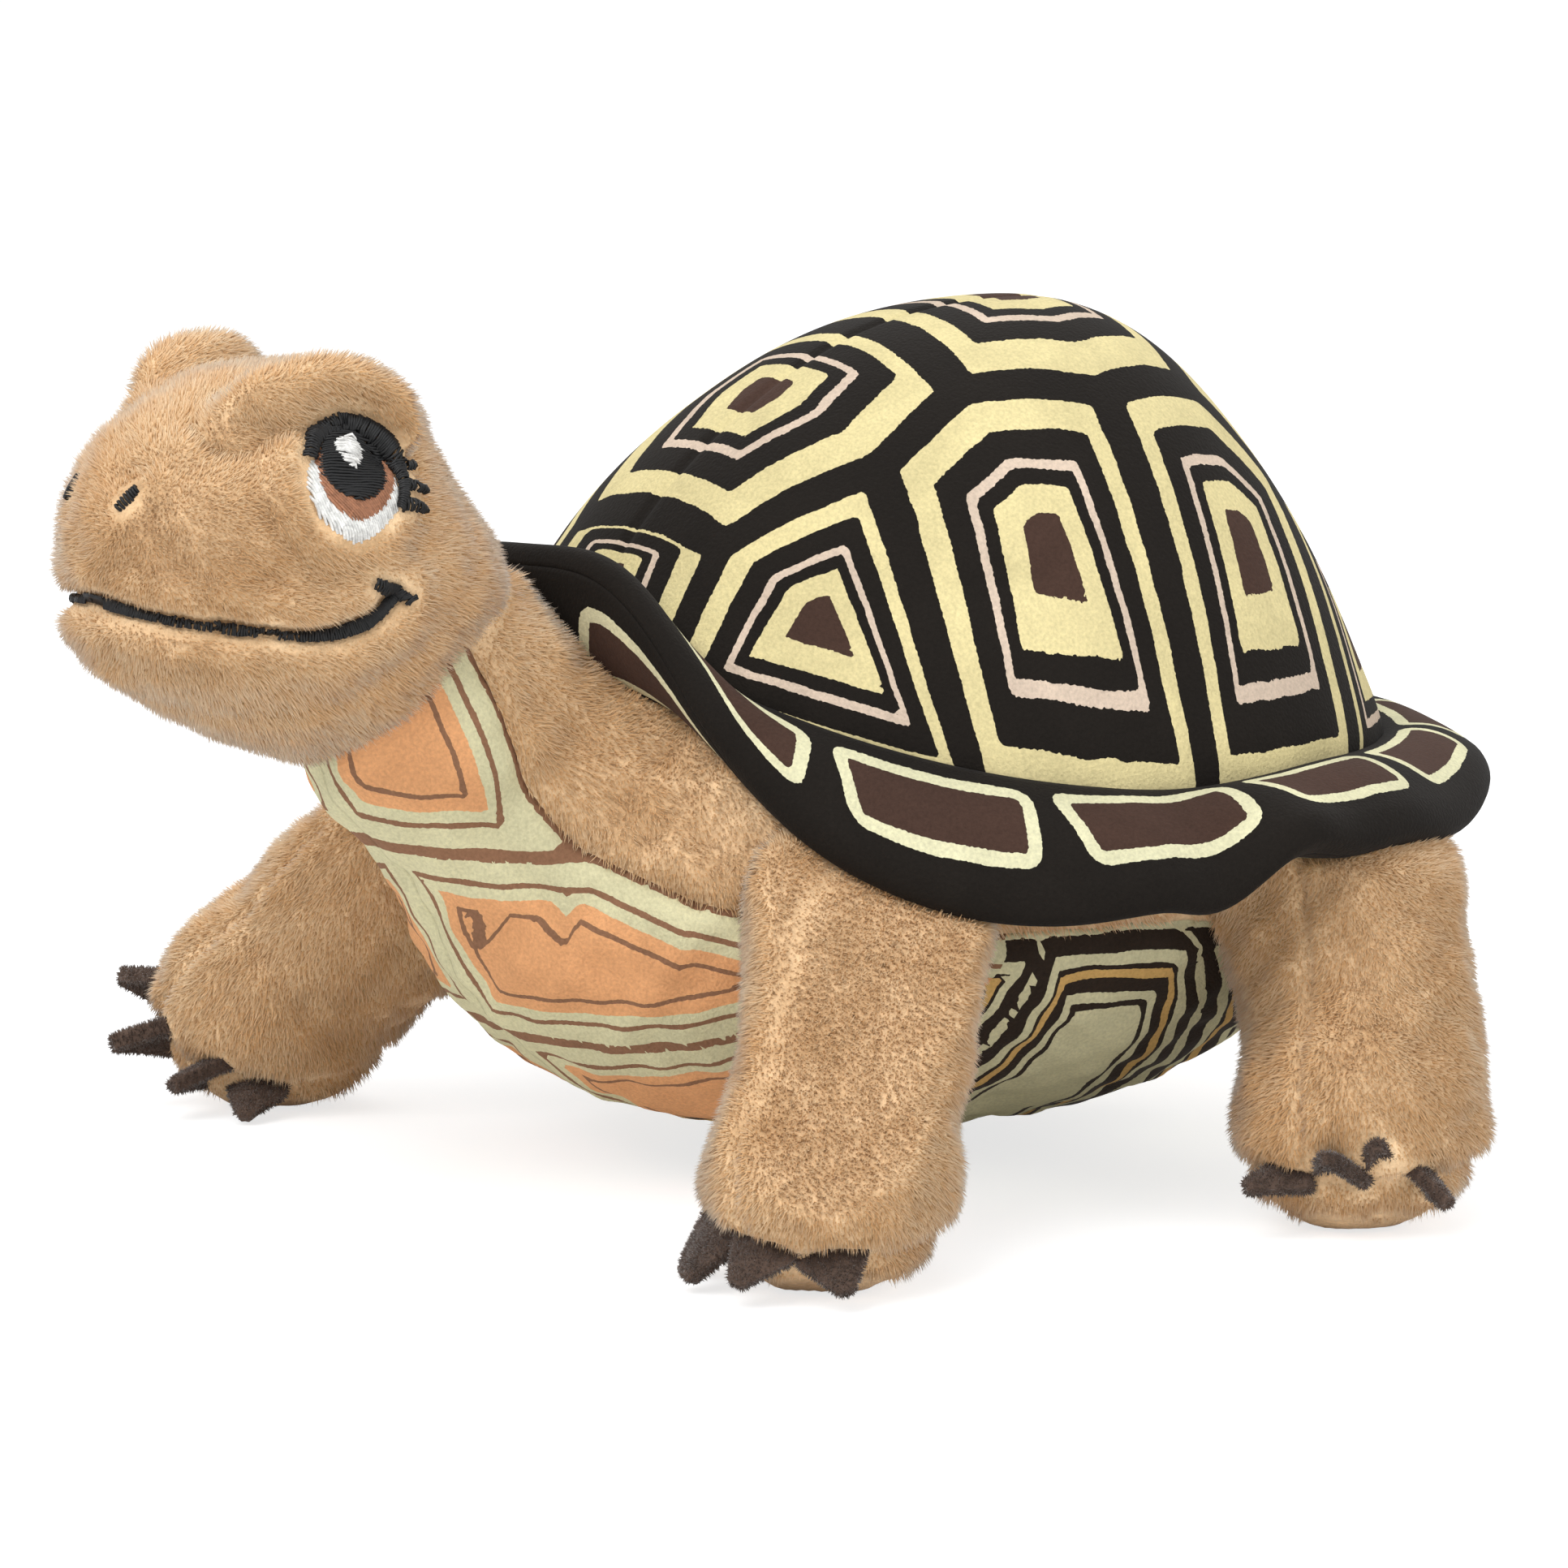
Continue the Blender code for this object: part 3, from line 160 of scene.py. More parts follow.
def rows_of(items, key, width=3):
    """What a mesh's items hold under a key, as rows of numbers."""
    flat = np.empty(len(items) * width, np.float32)
    items.foreach_get(key, flat)
    return flat.reshape(-1, width).astype(float)


def points_of(piece):
    return rows_of(piece.data.vertices, "co")


def place_points(piece, points):
    piece.data.vertices.foreach_set("co", np.asarray(points, float).ravel())
    piece.data.update()


def normals_of(piece):
    return rows_of(piece.data.vertex_normals, "vector")


def set_attribute(piece, name, values, kind="FLOAT"):
    """Give each point of a piece a number, or a vector where the kind is FLOAT_VECTOR."""
    kept = piece.data.attributes.get(name) or piece.data.attributes.new(name, kind, "POINT")
    kept.data.foreach_set("value" if kind == "FLOAT" else "vector", np.asarray(values, np.float32).ravel())


def applied(piece):
    """Replace an object's mesh by what its modifiers make of it."""
    depsgraph = bpy.context.evaluated_depsgraph_get()
    mesh = bpy.data.meshes.new_from_object(piece.evaluated_get(depsgraph))
    piece.modifiers.clear()
    piece.data = mesh
    return piece


def reshaped(piece, kind, **settings):
    """Put a modifier with its settings on a piece and apply it."""
    step = piece.modifiers.new(kind, kind)
    for key, value in settings.items():
        setattr(step, key, value)
    return applied(piece)


def copied(piece, name):
    return linked(name, piece.data.copy())


def discard(*pieces):
    for piece in pieces:
        bpy.data.objects.remove(piece, do_unlink=True)


def mirror_over(piece):
    """Turn a piece of the left side into the same piece of the right side."""
    piece.data.transform(Matrix.Scale(-1.0, 4, Vector((1.0, 0.0, 0.0))))
    piece.data.flip_normals()
    kept = piece.data.attributes.get("skin_normal")
    if kept:
        sides = rows_of(kept.data, "vector")
        sides[:, 0] *= -1.0
        set_attribute(piece, "skin_normal", sides, "FLOAT_VECTOR")


def thick(piece, thickness=CLOTH):
    """Give a cloth its wall, inwards from its outer face."""
    return reshaped(piece, "SOLIDIFY", thickness=thickness, offset=-1.0)


def smooth(piece):
    piece.data.shade_smooth()
    return piece


def grid_faces(rows, columns, wrap):
    """Quads over a grid of points, row by row, wrapped round in each row or not."""
    faces = []
    for row in range(rows - 1):
        for column in range(columns if wrap else columns - 1):
            beside = (column + 1) % columns
            low = row * columns
            high = low + columns
            faces.append((low + column, low + beside, high + beside, high + column))
    return faces


def face_tree(*pieces):
    """The faces of some pieces, ready for rays and for the nearest spot."""
    points, faces = [], []
    for piece in pieces:
        faces += [tuple(len(points) + corner for corner in face.vertices) for face in piece.data.polygons]
        points += [Vector(point) for point in points_of(piece)]
    return BVHTree.FromPolygons(points, faces)


def gap_to(points, others):
    """Distance from each point to the nearest of some others."""
    tree = KDTree(len(others))
    for i, other in enumerate(others):
        tree.insert(Vector(other), i)
    tree.balance()
    return np.array([tree.find(Vector(point))[2] for point in points])


# Soft forms as fields of distance
def ellipsoid(points, centre, half_sizes):
    local = points - np.array(centre)
    near = np.linalg.norm(local / np.array(half_sizes), axis=1)
    steep = np.linalg.norm(local / np.array(half_sizes) ** 2, axis=1)
    return near * (near - 1.0) / np.maximum(steep, 1e-9)


def run(points, start, end, start_radius, end_radius):
    """Distance to a round run that tapers from one end to the other."""
    axis = np.array(end) - np.array(start)
    share = np.clip((points - np.array(start)) @ axis / (axis @ axis), 0.0, 1.0)
    beside = np.linalg.norm(points - np.array(start) - share[:, None] * axis, axis=1)
    return beside - start_radius - (end_radius - start_radius) * share


def joined(first, second, reach):
    """Union of two fields with a fillet of the given reach."""
    share = np.clip(0.5 + 0.5 * (second - first) / reach, 0.0, 1.0)
    return second + (first - second) * share - reach * share * (1.0 - share)


def limb(points, spine, radii, reach):
    """Distance to round runs through the points of a spine, melted into each other."""
    spans = list(zip(spine, spine[1:], radii, radii[1:]))
    form = run(points, *spans[0])
    for span in spans[1:]:
        form = joined(form, run(points, *span), reach)
    return form


def balls_through(spine, radii, counts):
    """Rough balls along the runs of a limb."""
    balls = []
    for start, end, start_radius, end_radius, count in zip(spine, spine[1:], radii, radii[1:], counts):
        for step in [i / (count - 1) for i in range(count)]:
            radius = start_radius + (end_radius - start_radius) * step
            balls.append((Vector(start).lerp(Vector(end), step), (radius,) * 3))
    return balls


def slope_of(field, points, step=0.0002):
    slope = np.empty_like(points)
    for axis in range(3):
        offset = np.zeros(3)
        offset[axis] = step
        slope[:, axis] = (field(points + offset) - field(points - offset)) / (2.0 * step)
    return slope


def settled(points, field, steps):
    """Move points onto the zero surface of a field."""
    for _ in range(steps):
        slope = slope_of(field, points)
        points = points - slope * (field(points) / np.maximum((slope ** 2).sum(1), 0.05))[:, None]
    return points


def grown(name, field, balls, cell):
    """A closed even mesh on a field's zero surface, from the rough balls that fill it."""
    bm = bmesh.new()
    for centre, half_sizes in balls:
        place = Matrix.Translation(centre) @ Matrix.Diagonal((*half_sizes, 1.0))
        bmesh.ops.create_icosphere(bm, subdivisions=3, radius=1.0, matrix=place)
    mesh = bpy.data.meshes.new(name)
    bm.to_mesh(mesh)
    bm.free()
    piece = reshaped(linked(name, mesh), "REMESH", mode="VOXEL", voxel_size=cell)
    place_points(piece, settled(points_of(piece), field, 6))
    for _ in range(3):
        reshaped(piece, "SMOOTH", factor=0.5, iterations=4)
        place_points(piece, settled(points_of(piece), field, 3))
    return piece


def parted(piece, name, values, keep):
    """The part of a mesh where a value at its points is above zero (keep 1) or below (keep -1)."""
    twin = copied(piece, name)
    bm = bmesh.new()
    bm.from_mesh(twin.data)
    layer = bm.verts.layers.float.new("parting")
    for vertex, value in zip(bm.verts, values):
        vertex[layer] = value if abs(value) > 1e-7 else 1e-7
    crossing = [edge for edge in bm.edges if edge.verts[0][layer] * edge.verts[1][layer] < 0.0]
    border = set()
    for edge in crossing:
        first, second = edge.verts
        share = first[layer] / (first[layer] - second[layer])
        _, fresh = bmesh.utils.edge_split(edge, first, share)
        fresh[layer] = 0.0
        border.add(fresh)
    for face in list(bm.faces):
        ends = [vertex for vertex in face.verts if vertex in border]
        if len(ends) == 2:
            bmesh.utils.face_split(face, ends[0], ends[1])
    lost = [face for face in bm.faces if sum(vertex[layer] for vertex in face.verts) * keep < 0.0]
    bmesh.ops.delete(bm, geom=lost, context="FACES")
    bm.to_mesh(twin.data)
    bm.free()
    return twin


# Shell surfaces. Angles run from the front, 0 degrees, round the left side to the rear, 180 degrees.
def from_front(angle):
    """Degrees from the front, on either side."""
    return np.abs((angle + 180.0) % 360.0 - 180.0)


def dome_edge(angle, grow=0.0):
    away = from_front(angle)
    turn = np.radians(angle)
    front = 1.0 / (1.0 + (away / DOME_FRONT_ANGLE) ** 3)
    z = DOME_FLANK_Z + DOME_FRONT_RISE * front + DOME_REAR_RISE * smooth_step(away, *DOME_REAR_ANGLES)
    return np.stack(((DOME_HALF_WIDTH + grow) * np.sin(turn),
                     DOME_CENTRE_Y - (DOME_HALF_LENGTH + grow) * np.cos(turn), z), -1)


def dome_point(angle, climb):
    """A point of the dome: climb runs from 0 degrees at its edge to 90 degrees at its top."""
    edge = dome_edge(angle)
    rise = np.radians(climb)
    point = np.array(DOME_TOP) + (edge - np.array(DOME_TOP)) * np.cos(rise)[..., None]
    power = DOME_HEIGHT_POWER + DOME_REAR_POWER * smooth_step(from_front(angle), *DOME_REAR_POWER_ANGLES)
    power = power - DOME_CROWN_FULLNESS * smooth_step(climb, *DOME_CROWN_ANGLES)
    point[..., 2] = edge[..., 2] + (DOME_TOP.z - edge[..., 2]) * np.sin(rise) ** power
    return point


def rim_edge(angle):
    away = from_front(angle)
    turn = np.radians(angle)
    collar = 1.0 / (1.0 + (away / RIM_COLLAR_ANGLE) ** 4)
    z = RIM_FLANK_Z + RIM_COLLAR_RISE * collar + RIM_REAR_RISE * smooth_step(away, *RIM_REAR_ANGLES)
    return np.stack((RIM_HALF_WIDTH * np.sin(turn), RIM_CENTRE_Y - RIM_HALF_LENGTH * np.cos(turn), z), -1)


def rim_frame(angle):
    """Root point, run towards the edge and upward normal of the flange's middle surface."""
    root = dome_edge(angle, -0.0006)
    along = rim_edge(angle) - root
    flat = np.linalg.norm(along[..., :2], axis=-1)
    outward = along[..., :2] / flat[..., None]
    up = np.stack((-outward[..., 0] * along[..., 2], -outward[..., 1] * along[..., 2], flat), -1)
    return root, along, up / np.linalg.norm(up, axis=-1)[..., None]


def rim_half(share):
    """Half the flange's thickness: padded in the middle and round at its edge."""
    puff = RIM_EDGE_HALF + (RIM_PUFF - RIM_EDGE_HALF) * np.sin(pi * np.clip(share, 0.0, 1.0) ** 0.9)
    return puff * np.sqrt(np.clip(1.0 - np.clip((share - 0.86) / 0.14, 0.0, 1.0) ** 2, 0.0, 1.0))


def rim_wave(angle, share):
    """How far the flange lifts from its plain surface: slow waves, and the tuck on each flank."""
    slow = sum(height * np.sin(np.radians(angle * number + shift)) for height, number, shift in RIM_WAVES)
    past = from_front(angle) - RIM_TUCK_ANGLE
    tuck = RIM_TUCK_RISE * bump(past - 4.0, RIM_TUCK_SPREAD)
    tuck = tuck - RIM_TUCK_DROP * bump(past + 5.0, RIM_TUCK_SPREAD * 0.7)
    return (slow + tuck) * share ** 1.3


def rim_point(angle, share, side):
    """A point of the flange's cloth: side 1 is the upper face, side -1 the lower one."""
    root, along, up = rim_frame(angle)
    rise = rim_wave(angle, share) + side * rim_half(share)
    return root + along * share[..., None] + up * rise[..., None]


def dome_cloth():
    """One dome surface, with a groove at the middle seam and small gathers over the flange seam."""
    columns, rows = 400, 84
    angle = np.linspace(0.0, 360.0, columns, endpoint=False)
    climb = 90.0 * (np.arange(rows) / rows)
    angles, climbs = np.meshgrid(angle, climb)
    points = dome_point(angles, climbs)
    gather = np.sin(np.radians(angles * 29.0)) + 0.6 * np.sin(np.radians(angles * 47.0 + 60.0))
    out = DOME_GATHERS * gather * np.exp(-climbs / 5.0) + DOME_SWELL * np.exp(-((climbs - 9.0) / 9.0) ** 2)
    out -= SEAM_DEPTH * 0.5 * bump(points[..., 0], SEAM_SPREAD * 0.8)
    lean = points - np.array([0.0, DOME_CENTRE_Y, DOME_FLANK_Z])
    points += lean / np.linalg.norm(lean, axis=-1)[..., None] * out[..., None]
    tip = np.array(DOME_TOP) - np.array([0.0, 0.0, SEAM_DEPTH * 0.5])
    faces = grid_faces(rows, columns, True)
    last = (rows - 1) * columns
    faces += [(last + i, last + (i + 1) % columns, rows * columns) for i in range(columns)]
    dome = new_object("dome_cloth", np.concatenate((points.reshape(-1, 3), tip[None])), faces)
    return dome, np.append(angles.ravel(), 0.0), np.append(climbs.ravel(), 90.0)


def rim_cloth(name, side):
    """One face of the flange, with the angle, share and side of its points. The upper one wraps the edge."""
    columns = 420
    angle = np.linspace(0.0, 360.0, columns, endpoint=False)
    shares = np.concatenate((np.linspace(0.0, 0.86, 17), 0.86 + 0.14 * np.sin(np.linspace(0.1, pi / 2, 8))))
    if side > 0.0:
        path = [(share, 1.0) for share in shares] + [(share, -1.0) for share in shares[-2:-7:-1]]
    else:
        path = [(share, -1.0) for share in shares[:-5]]
    points = np.array([rim_point(angle, np.full(columns, share), face) for share, face in path])
    faces = grid_faces(len(path), columns, True)
    if side < 0.0:
        faces = [face[::-1] for face in faces]
    cloth = new_object(name, points.reshape(-1, 3), faces)
    path_shares, path_faces = np.repeat(path, columns, axis=0).T
    return cloth, np.tile(angle, len(path)), path_shares, path_faces


def tucked(piece, tree):
    """Press what would stand inside the shell flat against its underside, and mark the rest as seen."""
    points = points_of(piece)
    seen = np.ones(len(points))
    for i, (x, y, z) in enumerate(points):
        if z > RIM_FLANK_Z * 0.7:
            hit = tree.ray_cast(Vector((x, y, 0.0)), Vector((0.0, 0.0, 1.0)))[0]
            ceiling = hit.z if hit else shell_floor_height(x, y)
            if ceiling is not None and z > ceiling - SHELL_GAP:
                points[i][2] = ceiling - SHELL_GAP
                seen[i] = 0.0
    place_points(piece, points)
    return seen


def shell_floor_height(x, y):
    """Height of the shell's floor inside the dome's seam, or None outside it."""
    reach = np.hypot(x / DOME_HALF_WIDTH, (y - DOME_CENTRE_Y) / DOME_HALF_LENGTH)
    if reach > 1.02:
        return None
    angle = np.degrees(np.arctan2(x / DOME_HALF_WIDTH, -(y - DOME_CENTRE_Y) / DOME_HALF_LENGTH))
    edge = dome_edge(np.array(angle))[2]
    return DOME_FLANK_Z + (edge - DOME_FLANK_Z) * reach ** 2


# Body
def torso_field(points):
    body = ellipsoid(points, BODY_CENTRE, BODY_HALF_SIZES)
    chest = ellipsoid(points, CHEST_CENTRE, CHEST_HALF_SIZES)
    neck = limb(points, NECK_SPINE, NECK_RADII, THROAT_FILLET)
    return joined(joined(body, chest, CHEST_FILLET), neck, NECK_FILLET)


def build_torso():
    balls = [(BODY_CENTRE, BODY_HALF_SIZES), (CHEST_CENTRE, CHEST_HALF_SIZES)]
    return grown("torso_form", torso_field, balls + balls_through(NECK_SPINE, NECK_RADII, (5, 5)), TORSO_CELL)


# Seam of the plastron in side view: places along Y and their heights
SEAM_LINE = (
    (-0.075, 0.120), (-0.058, 0.077), (-0.054, 0.065), (-0.048, 0.0560), (-0.037, 0.0490), (-0.020, 0.0445),
    (0.003, 0.0432), (0.025, 0.0436), (0.063, 0.0405), (0.075, 0.0345), (0.083, 0.0220), (0.086, 0.0),
    (0.100, -0.050))


def seam_distance(points):
    """Signed distance from the plastron's seam in side view: above it is plush."""
    ys, zs = np.array(SEAM_LINE).T
    height = np.interp(points[:, 1], ys, zs)
    ahead = np.interp(points[:, 1] + 0.001, ys, zs)
    tilt = (ahead - height) / 0.001
    return (points[:, 2] - height) / np.sqrt(1.0 + tilt ** 2)


# Head from its crown down to its chin: height, centre along the body, half length and half width
HEAD_SECTIONS = (
    (0.1278, -0.0830, 0.0, 0.0), (0.1262, -0.0830, 0.0120, 0.0118), (0.1205, -0.0840, 0.0222, 0.0200),
    (0.1150, -0.0856, 0.0259, 0.0236), (0.1090, -0.0858, 0.0294, 0.0265), (0.1030, -0.0841, 0.0324, 0.0281),
    (0.0970, -0.0819, 0.0335, 0.0288), (0.0915, -0.0816, 0.0331, 0.0281), (0.0870, -0.0823, 0.0314, 0.0266),
    (0.0830, -0.0826, 0.0297, 0.0246), (0.0795, -0.0808, 0.0260, 0.0220), (0.0750, -0.0794, 0.0200, 0.0178),
    (0.0705, -0.0785, 0.0115, 0.0105), (0.0680, -0.0777, 0.0050, 0.0040), (0.0672, -0.0777, 0.0, 0.0))
# Brow: a stuffed roll over the eye, from its front end to its rear end, with its radius
BROW_LINE = (
    (0.0132, -0.0970, 0.1208, 0.0040), (0.0152, -0.0938, 0.1232, 0.0050), (0.0168, -0.0895, 0.1247, 0.0056),
    (0.0178, -0.0850, 0.1252, 0.0057), (0.0190, -0.0805, 0.1244, 0.0055), (0.0206, -0.0768, 0.1220, 0.0050),
    (0.0220, -0.0748, 0.1185, 0.0042))
BROW_CREASE = 0.0011
BROW_CREASE_REACH = 0.0064
EYE_CENTRE = (0.0240, -0.0846, 0.1126)
EYE_UP = Vector((-0.51, 0.0, 0.86)).normalized()
EYE_AHEAD = Vector((0.0, -1.0, 0.0))
EYE_OUT = Vector((0.86, 0.0, 0.51)).normalized()
EYE_FLATNESS = 0.95
MOUTH_HALF = (
    (0.0, -0.1137, 0.0945), (0.0047, -0.1131, 0.0941), (0.0101, -0.1112, 0.0934),
    (0.0165, -0.1067, 0.0923), (0.0221, -0.0993, 0.0913), (0.0253, -0.0904, 0.0904),
    (0.0268, -0.0835, 0.0920), (0.0271, -0.0794, 0.0954))
LIP_RISE = 0.0010
MOUTH_DEPTH = 0.0019
MOUTH_BAR = ((0.0273, -0.0831, 0.0978), (0.0272, -0.0793, 0.0962), (0.0267, -0.0766, 0.0944))


def curve_through(points, per_span):
    """Points of a smooth curve through the given ones."""
    line = np.array(points, float)
    line = np.concatenate((2.0 * line[:1] - line[1:2], line, 2.0 * line[-1:] - line[-2:-1]))
    out = []
    for i in range(1, len(line) - 2):
        before, start, end, after = line[i - 1:i + 3]
        for step in np.arange(per_span) / per_span:
            out.append(0.5 * (2.0 * start + (end - before) * step
                              + (2.0 * before - 5.0 * start + 4.0 * end - after) * step ** 2
                              + (3.0 * start - before - 3.0 * end + after) * step ** 3))
    out.append(line[-2])
    return np.array(out)


def mouth_line(per_span):
    left = curve_through(MOUTH_HALF, per_span)
    right = left[:0:-1] * np.array([-1.0, 1.0, 1.0])
    return np.concatenate((right, left))


def head_form():
    """Crown, cheeks and jaw as one round form, with the brow rolls melted into it."""
    columns = 96
    rows = curve_through(HEAD_SECTIONS, 8)
    turn = np.linspace(0.0, 2.0 * pi, columns, endpoint=False)
    body = rows[1:-1]
    ring = np.stack((body[:, 3:4] * np.sin(turn), body[:, 1:2] - body[:, 2:3] * np.cos(turn),
                     np.repeat(body[:, :1], columns, 1)), -1).reshape(-1, 3)
    ends = np.array([(0.0, rows[0][1], rows[0][0]), (0.0, rows[-1][1], rows[-1][0])])
    faces = grid_faces(len(body), columns, True)
    last = (len(body) - 1) * columns
    for i in range(columns):
        beside = (i + 1) % columns
        faces.append((len(ring), beside, i))
        faces.append((len(ring) + 1, last + i, last + beside))
    skull = new_object("head_plush", np.concatenate((ring, ends)), faces)
    bm = bmesh.new()
    bm.from_mesh(skull.data)
    for x, y, z, radius in curve_through(BROW_LINE, 5):
        for side in SIDES.values():
            place = Matrix.Translation((x * side, y, z))
            bmesh.ops.create_icosphere(bm, subdivisions=3, radius=radius, matrix=place)
    bmesh.ops.recalc_face_normals(bm, faces=bm.faces)
    bm.to_mesh(skull.data)
    bm.free()
    reshaped(skull, "REMESH", mode="VOXEL", voxel_size=HEAD_CELL)
    reshaped(skull, "SMOOTH", factor=0.5, iterations=7)
    place_points(skull, points_of(skull) - normals_of(skull) * SKIN_UNDER_PILE)
    return skull


def build_head():
    """The head with its brow creases, flat eye patches and lips."""
    skull = head_form()
    points, normals = points_of(skull), normals_of(skull)
    halved = np.stack((np.abs(points[:, 0]), points[:, 1], points[:, 2]), 1)
    gap, under = distance_to_line(halved, curve_through(BROW_LINE, 6)[:, :3])
    ahead = smooth_step(-halved[:, 1], 0.090, 0.097)
    past = gap - BROW_CREASE_REACH
    crease = BROW_CREASE * bump(past, 0.0015) * smooth_step(under, -0.001, 0.002)
    crease += 0.5 * BROW_CREASE * bump(past, 0.0020) * ahead * smooth_step(-under, -0.001, 0.004)
    points -= normals * crease[:, None]
    from_eye = halved - np.array(EYE_CENTRE)
    above_patch = from_eye @ np.array(EYE_OUT)
    beside_patch = np.linalg.norm(from_eye - above_patch[:, None] * np.array(EYE_OUT), axis=1)
    flat = EYE_FLATNESS * (1.0 - smooth_step(beside_patch, 0.0095, 0.0140)) * (np.abs(above_patch) < 0.006)
    lowered = above_patch * flat
    points[:, 0] -= lowered * EYE_OUT.x * np.sign(points[:, 0])
    points[:, 2] -= lowered * EYE_OUT.z
    away, below = distance_to_line(points, mouth_line(6))
    face = smooth_step(-points[:, 1], 0.070, 0.078)
    lips = LIP_RISE * bump(away - 0.0042, 0.0026) - MOUTH_DEPTH * bump(away, 0.0013)
    fall = smooth_step(below, 0.0, 0.002) * 0.0007 * bump(away - 0.0050, 0.0040)
    points += normals * (face * (lips + fall))[:, None]
    place_points(skull, roughened(points, normals, HEAD_UNEVEN))
    return skull


def distance_to_line(points, line):
    """Distance of each point to a line of points, and how far below its nearest point it lies."""
    near = np.full(len(points), 1.0)
    below = np.zeros(len(points))
    for start in range(0, len(points), 4000):
        block = points[start:start + 4000]
        gap = np.linalg.norm(block[:, None, :] - line[None], axis=2)
        nearest = gap.argmin(1)
        near[start:start + 4000] = gap.min(1)
        below[start:start + 4000] = line[nearest, 2] - block[:, 2]
    return near, below


def head_inside(points):
    """Rough distance outside the head, below 0 inside it."""
    heights, centres, lengths, widths = np.array(HEAD_SECTIONS[::-1]).T
    centre = np.interp(points[:, 2], heights, centres)
    length = np.maximum(np.interp(points[:, 2], heights, lengths, 0.0, 0.0), 0.001)
    width = np.maximum(np.interp(points[:, 2], heights, widths, 0.0, 0.0), 0.001)
    reach = np.hypot(points[:, 0] / width, (points[:, 1] - centre) / length)
    return (reach - 1.0) * np.minimum(width, length)


def roughened(points, normals, height):
    """Soft uneven swellings, as stuffing shows through a skin."""
    wave = np.zeros(len(points))
    for pace, shift in ((260.0, 0.3), (410.0, 1.7), (590.0, 4.1)):
        wave += (np.sin(points[:, 0] * pace + shift) * np.sin(points[:, 1] * pace * 0.93 + 2.0 * shift)
                 * np.sin(points[:, 2] * pace * 1.07 + 3.0 * shift))
    return points + normals * (wave * height)[:, None]


# Legs. Each claw has the angle of its root, the way it points, its droop, its roll, its width and its length.
REAR_CLAWS = ((22.0, -10.0, 4.0, 22.0, 0.0084, 0.0094), (43.0, 32.0, -38.0, 8.0, 0.0094, 0.0084),
              (65.0, 60.0, -56.0, -20.0, 0.0088, 0.0086), (82.0, 108.0, 20.0, 40.0, 0.0086, 0.0086))
LEGS = {
    ("front", "left"): {
        "hip": (0.0570, -0.0180, 0.0470), "knee": (0.0680, -0.0268, 0.0325),
        "foot": (0.0770, -0.0372, 0.0166), "toes": (0.0808, -0.0416, 0.0150),
        "radii": (0.0176, 0.0147, 0.0160, 0.0150), "toe": 14.0,
        "pivot": (0.0560, -0.0190, 0.0385), "roof": 0.8, "seam": 0.0088, "climb": -6.0,
        "claws": ((-36.0, -36.0, 50.0, 6.0, 0.0100, 0.0122), (-6.0, -14.0, 44.0, 10.0, 0.0106, 0.0104),
                  (25.0, 20.0, 34.0, 14.0, 0.0106, 0.0084), (56.0, 66.0, 30.0, -14.0, 0.0106, 0.0080))},
    ("front", "right"): {
        "hip": (0.0510, -0.0190, 0.0560), "knee": (0.0642, -0.0290, 0.0340),
        "foot": (0.0775, -0.0412, 0.0164), "toes": (0.0792, -0.0430, 0.0160),
        "radii": (0.0168, 0.0166, 0.0158, 0.0154), "toe": 14.0,
        "pivot": (0.0560, -0.0190, 0.0385), "roof": 0.3, "seam": 0.0118, "climb": 27.0,
        "claws": ((-47.0, -44.0, 12.0, 0.0, 0.0096, 0.0094), (-20.0, -4.0, 2.0, 30.0, 0.0098, 0.0100),
                  (12.0, 22.0, -2.0, 40.0, 0.0098, 0.0112), (45.0, 46.0, -26.0, 50.0, 0.0096, 0.0112))},
    ("rear", "left"): {
        "hip": (0.0692, 0.0569, 0.0460), "knee": (0.0798, 0.0548, 0.0290),
        "foot": (0.0850, 0.0506, 0.0170), "toes": (0.0876, 0.0472, 0.0156),
        "radii": (0.0192, 0.0152, 0.0166, 0.0158), "toe": 27.0,
        "pivot": (0.0590, 0.0640, 0.0430), "roof": 0.8, "seam": 0.0094, "climb": 0.0,
        "claws": REAR_CLAWS},
}
LEGS[("rear", "right")] = LEGS[("rear", "left")]
LEG_FILLET = 0.005
LEG_ROOF_GAP = 0.0040
LEG_ROOF_ROUNDING = 0.0040
LEG_SEAM_DEPTH = 0.0012
SOLE_SEAM_DEPTH = 0.0011


def leg_spine(leg):
    return leg["hip"], leg["knee"], leg["foot"], leg["toes"]


def leg_field(leg):
    def field(points):
        return limb(points, leg_spine(leg), leg["radii"], LEG_FILLET)
    return field


def under_flange(points, slope):
    """Lower what stands beside the flange to a roof that falls away from the flange's edge by a slope."""
    wide, long = points[:, 0] / RIM_HALF_WIDTH, (points[:, 1] - RIM_CENTRE_Y) / RIM_HALF_LENGTH
    reach = np.hypot(wide, long)
    edge = rim_edge(np.degrees(np.arctan2(wide, -long)))
    out = np.linalg.norm(edge[:, :2] - np.array([0.0, RIM_CENTRE_Y]), axis=1) * (reach - 1.0)
    roof = edge[:, 2] - LEG_ROOF_GAP - slope * np.maximum(out, -0.003)
    over = points[:, 2] - roof + LEG_ROOF_ROUNDING
    lowered = roof + LEG_ROOF_ROUNDING * (np.tanh(over / 0.006) - 1.0)
    kept = points.copy()
    kept[:, 2] = np.where((reach > 0.90) & (over > 0.0), np.minimum(points[:, 2], lowered), points[:, 2])
    return kept


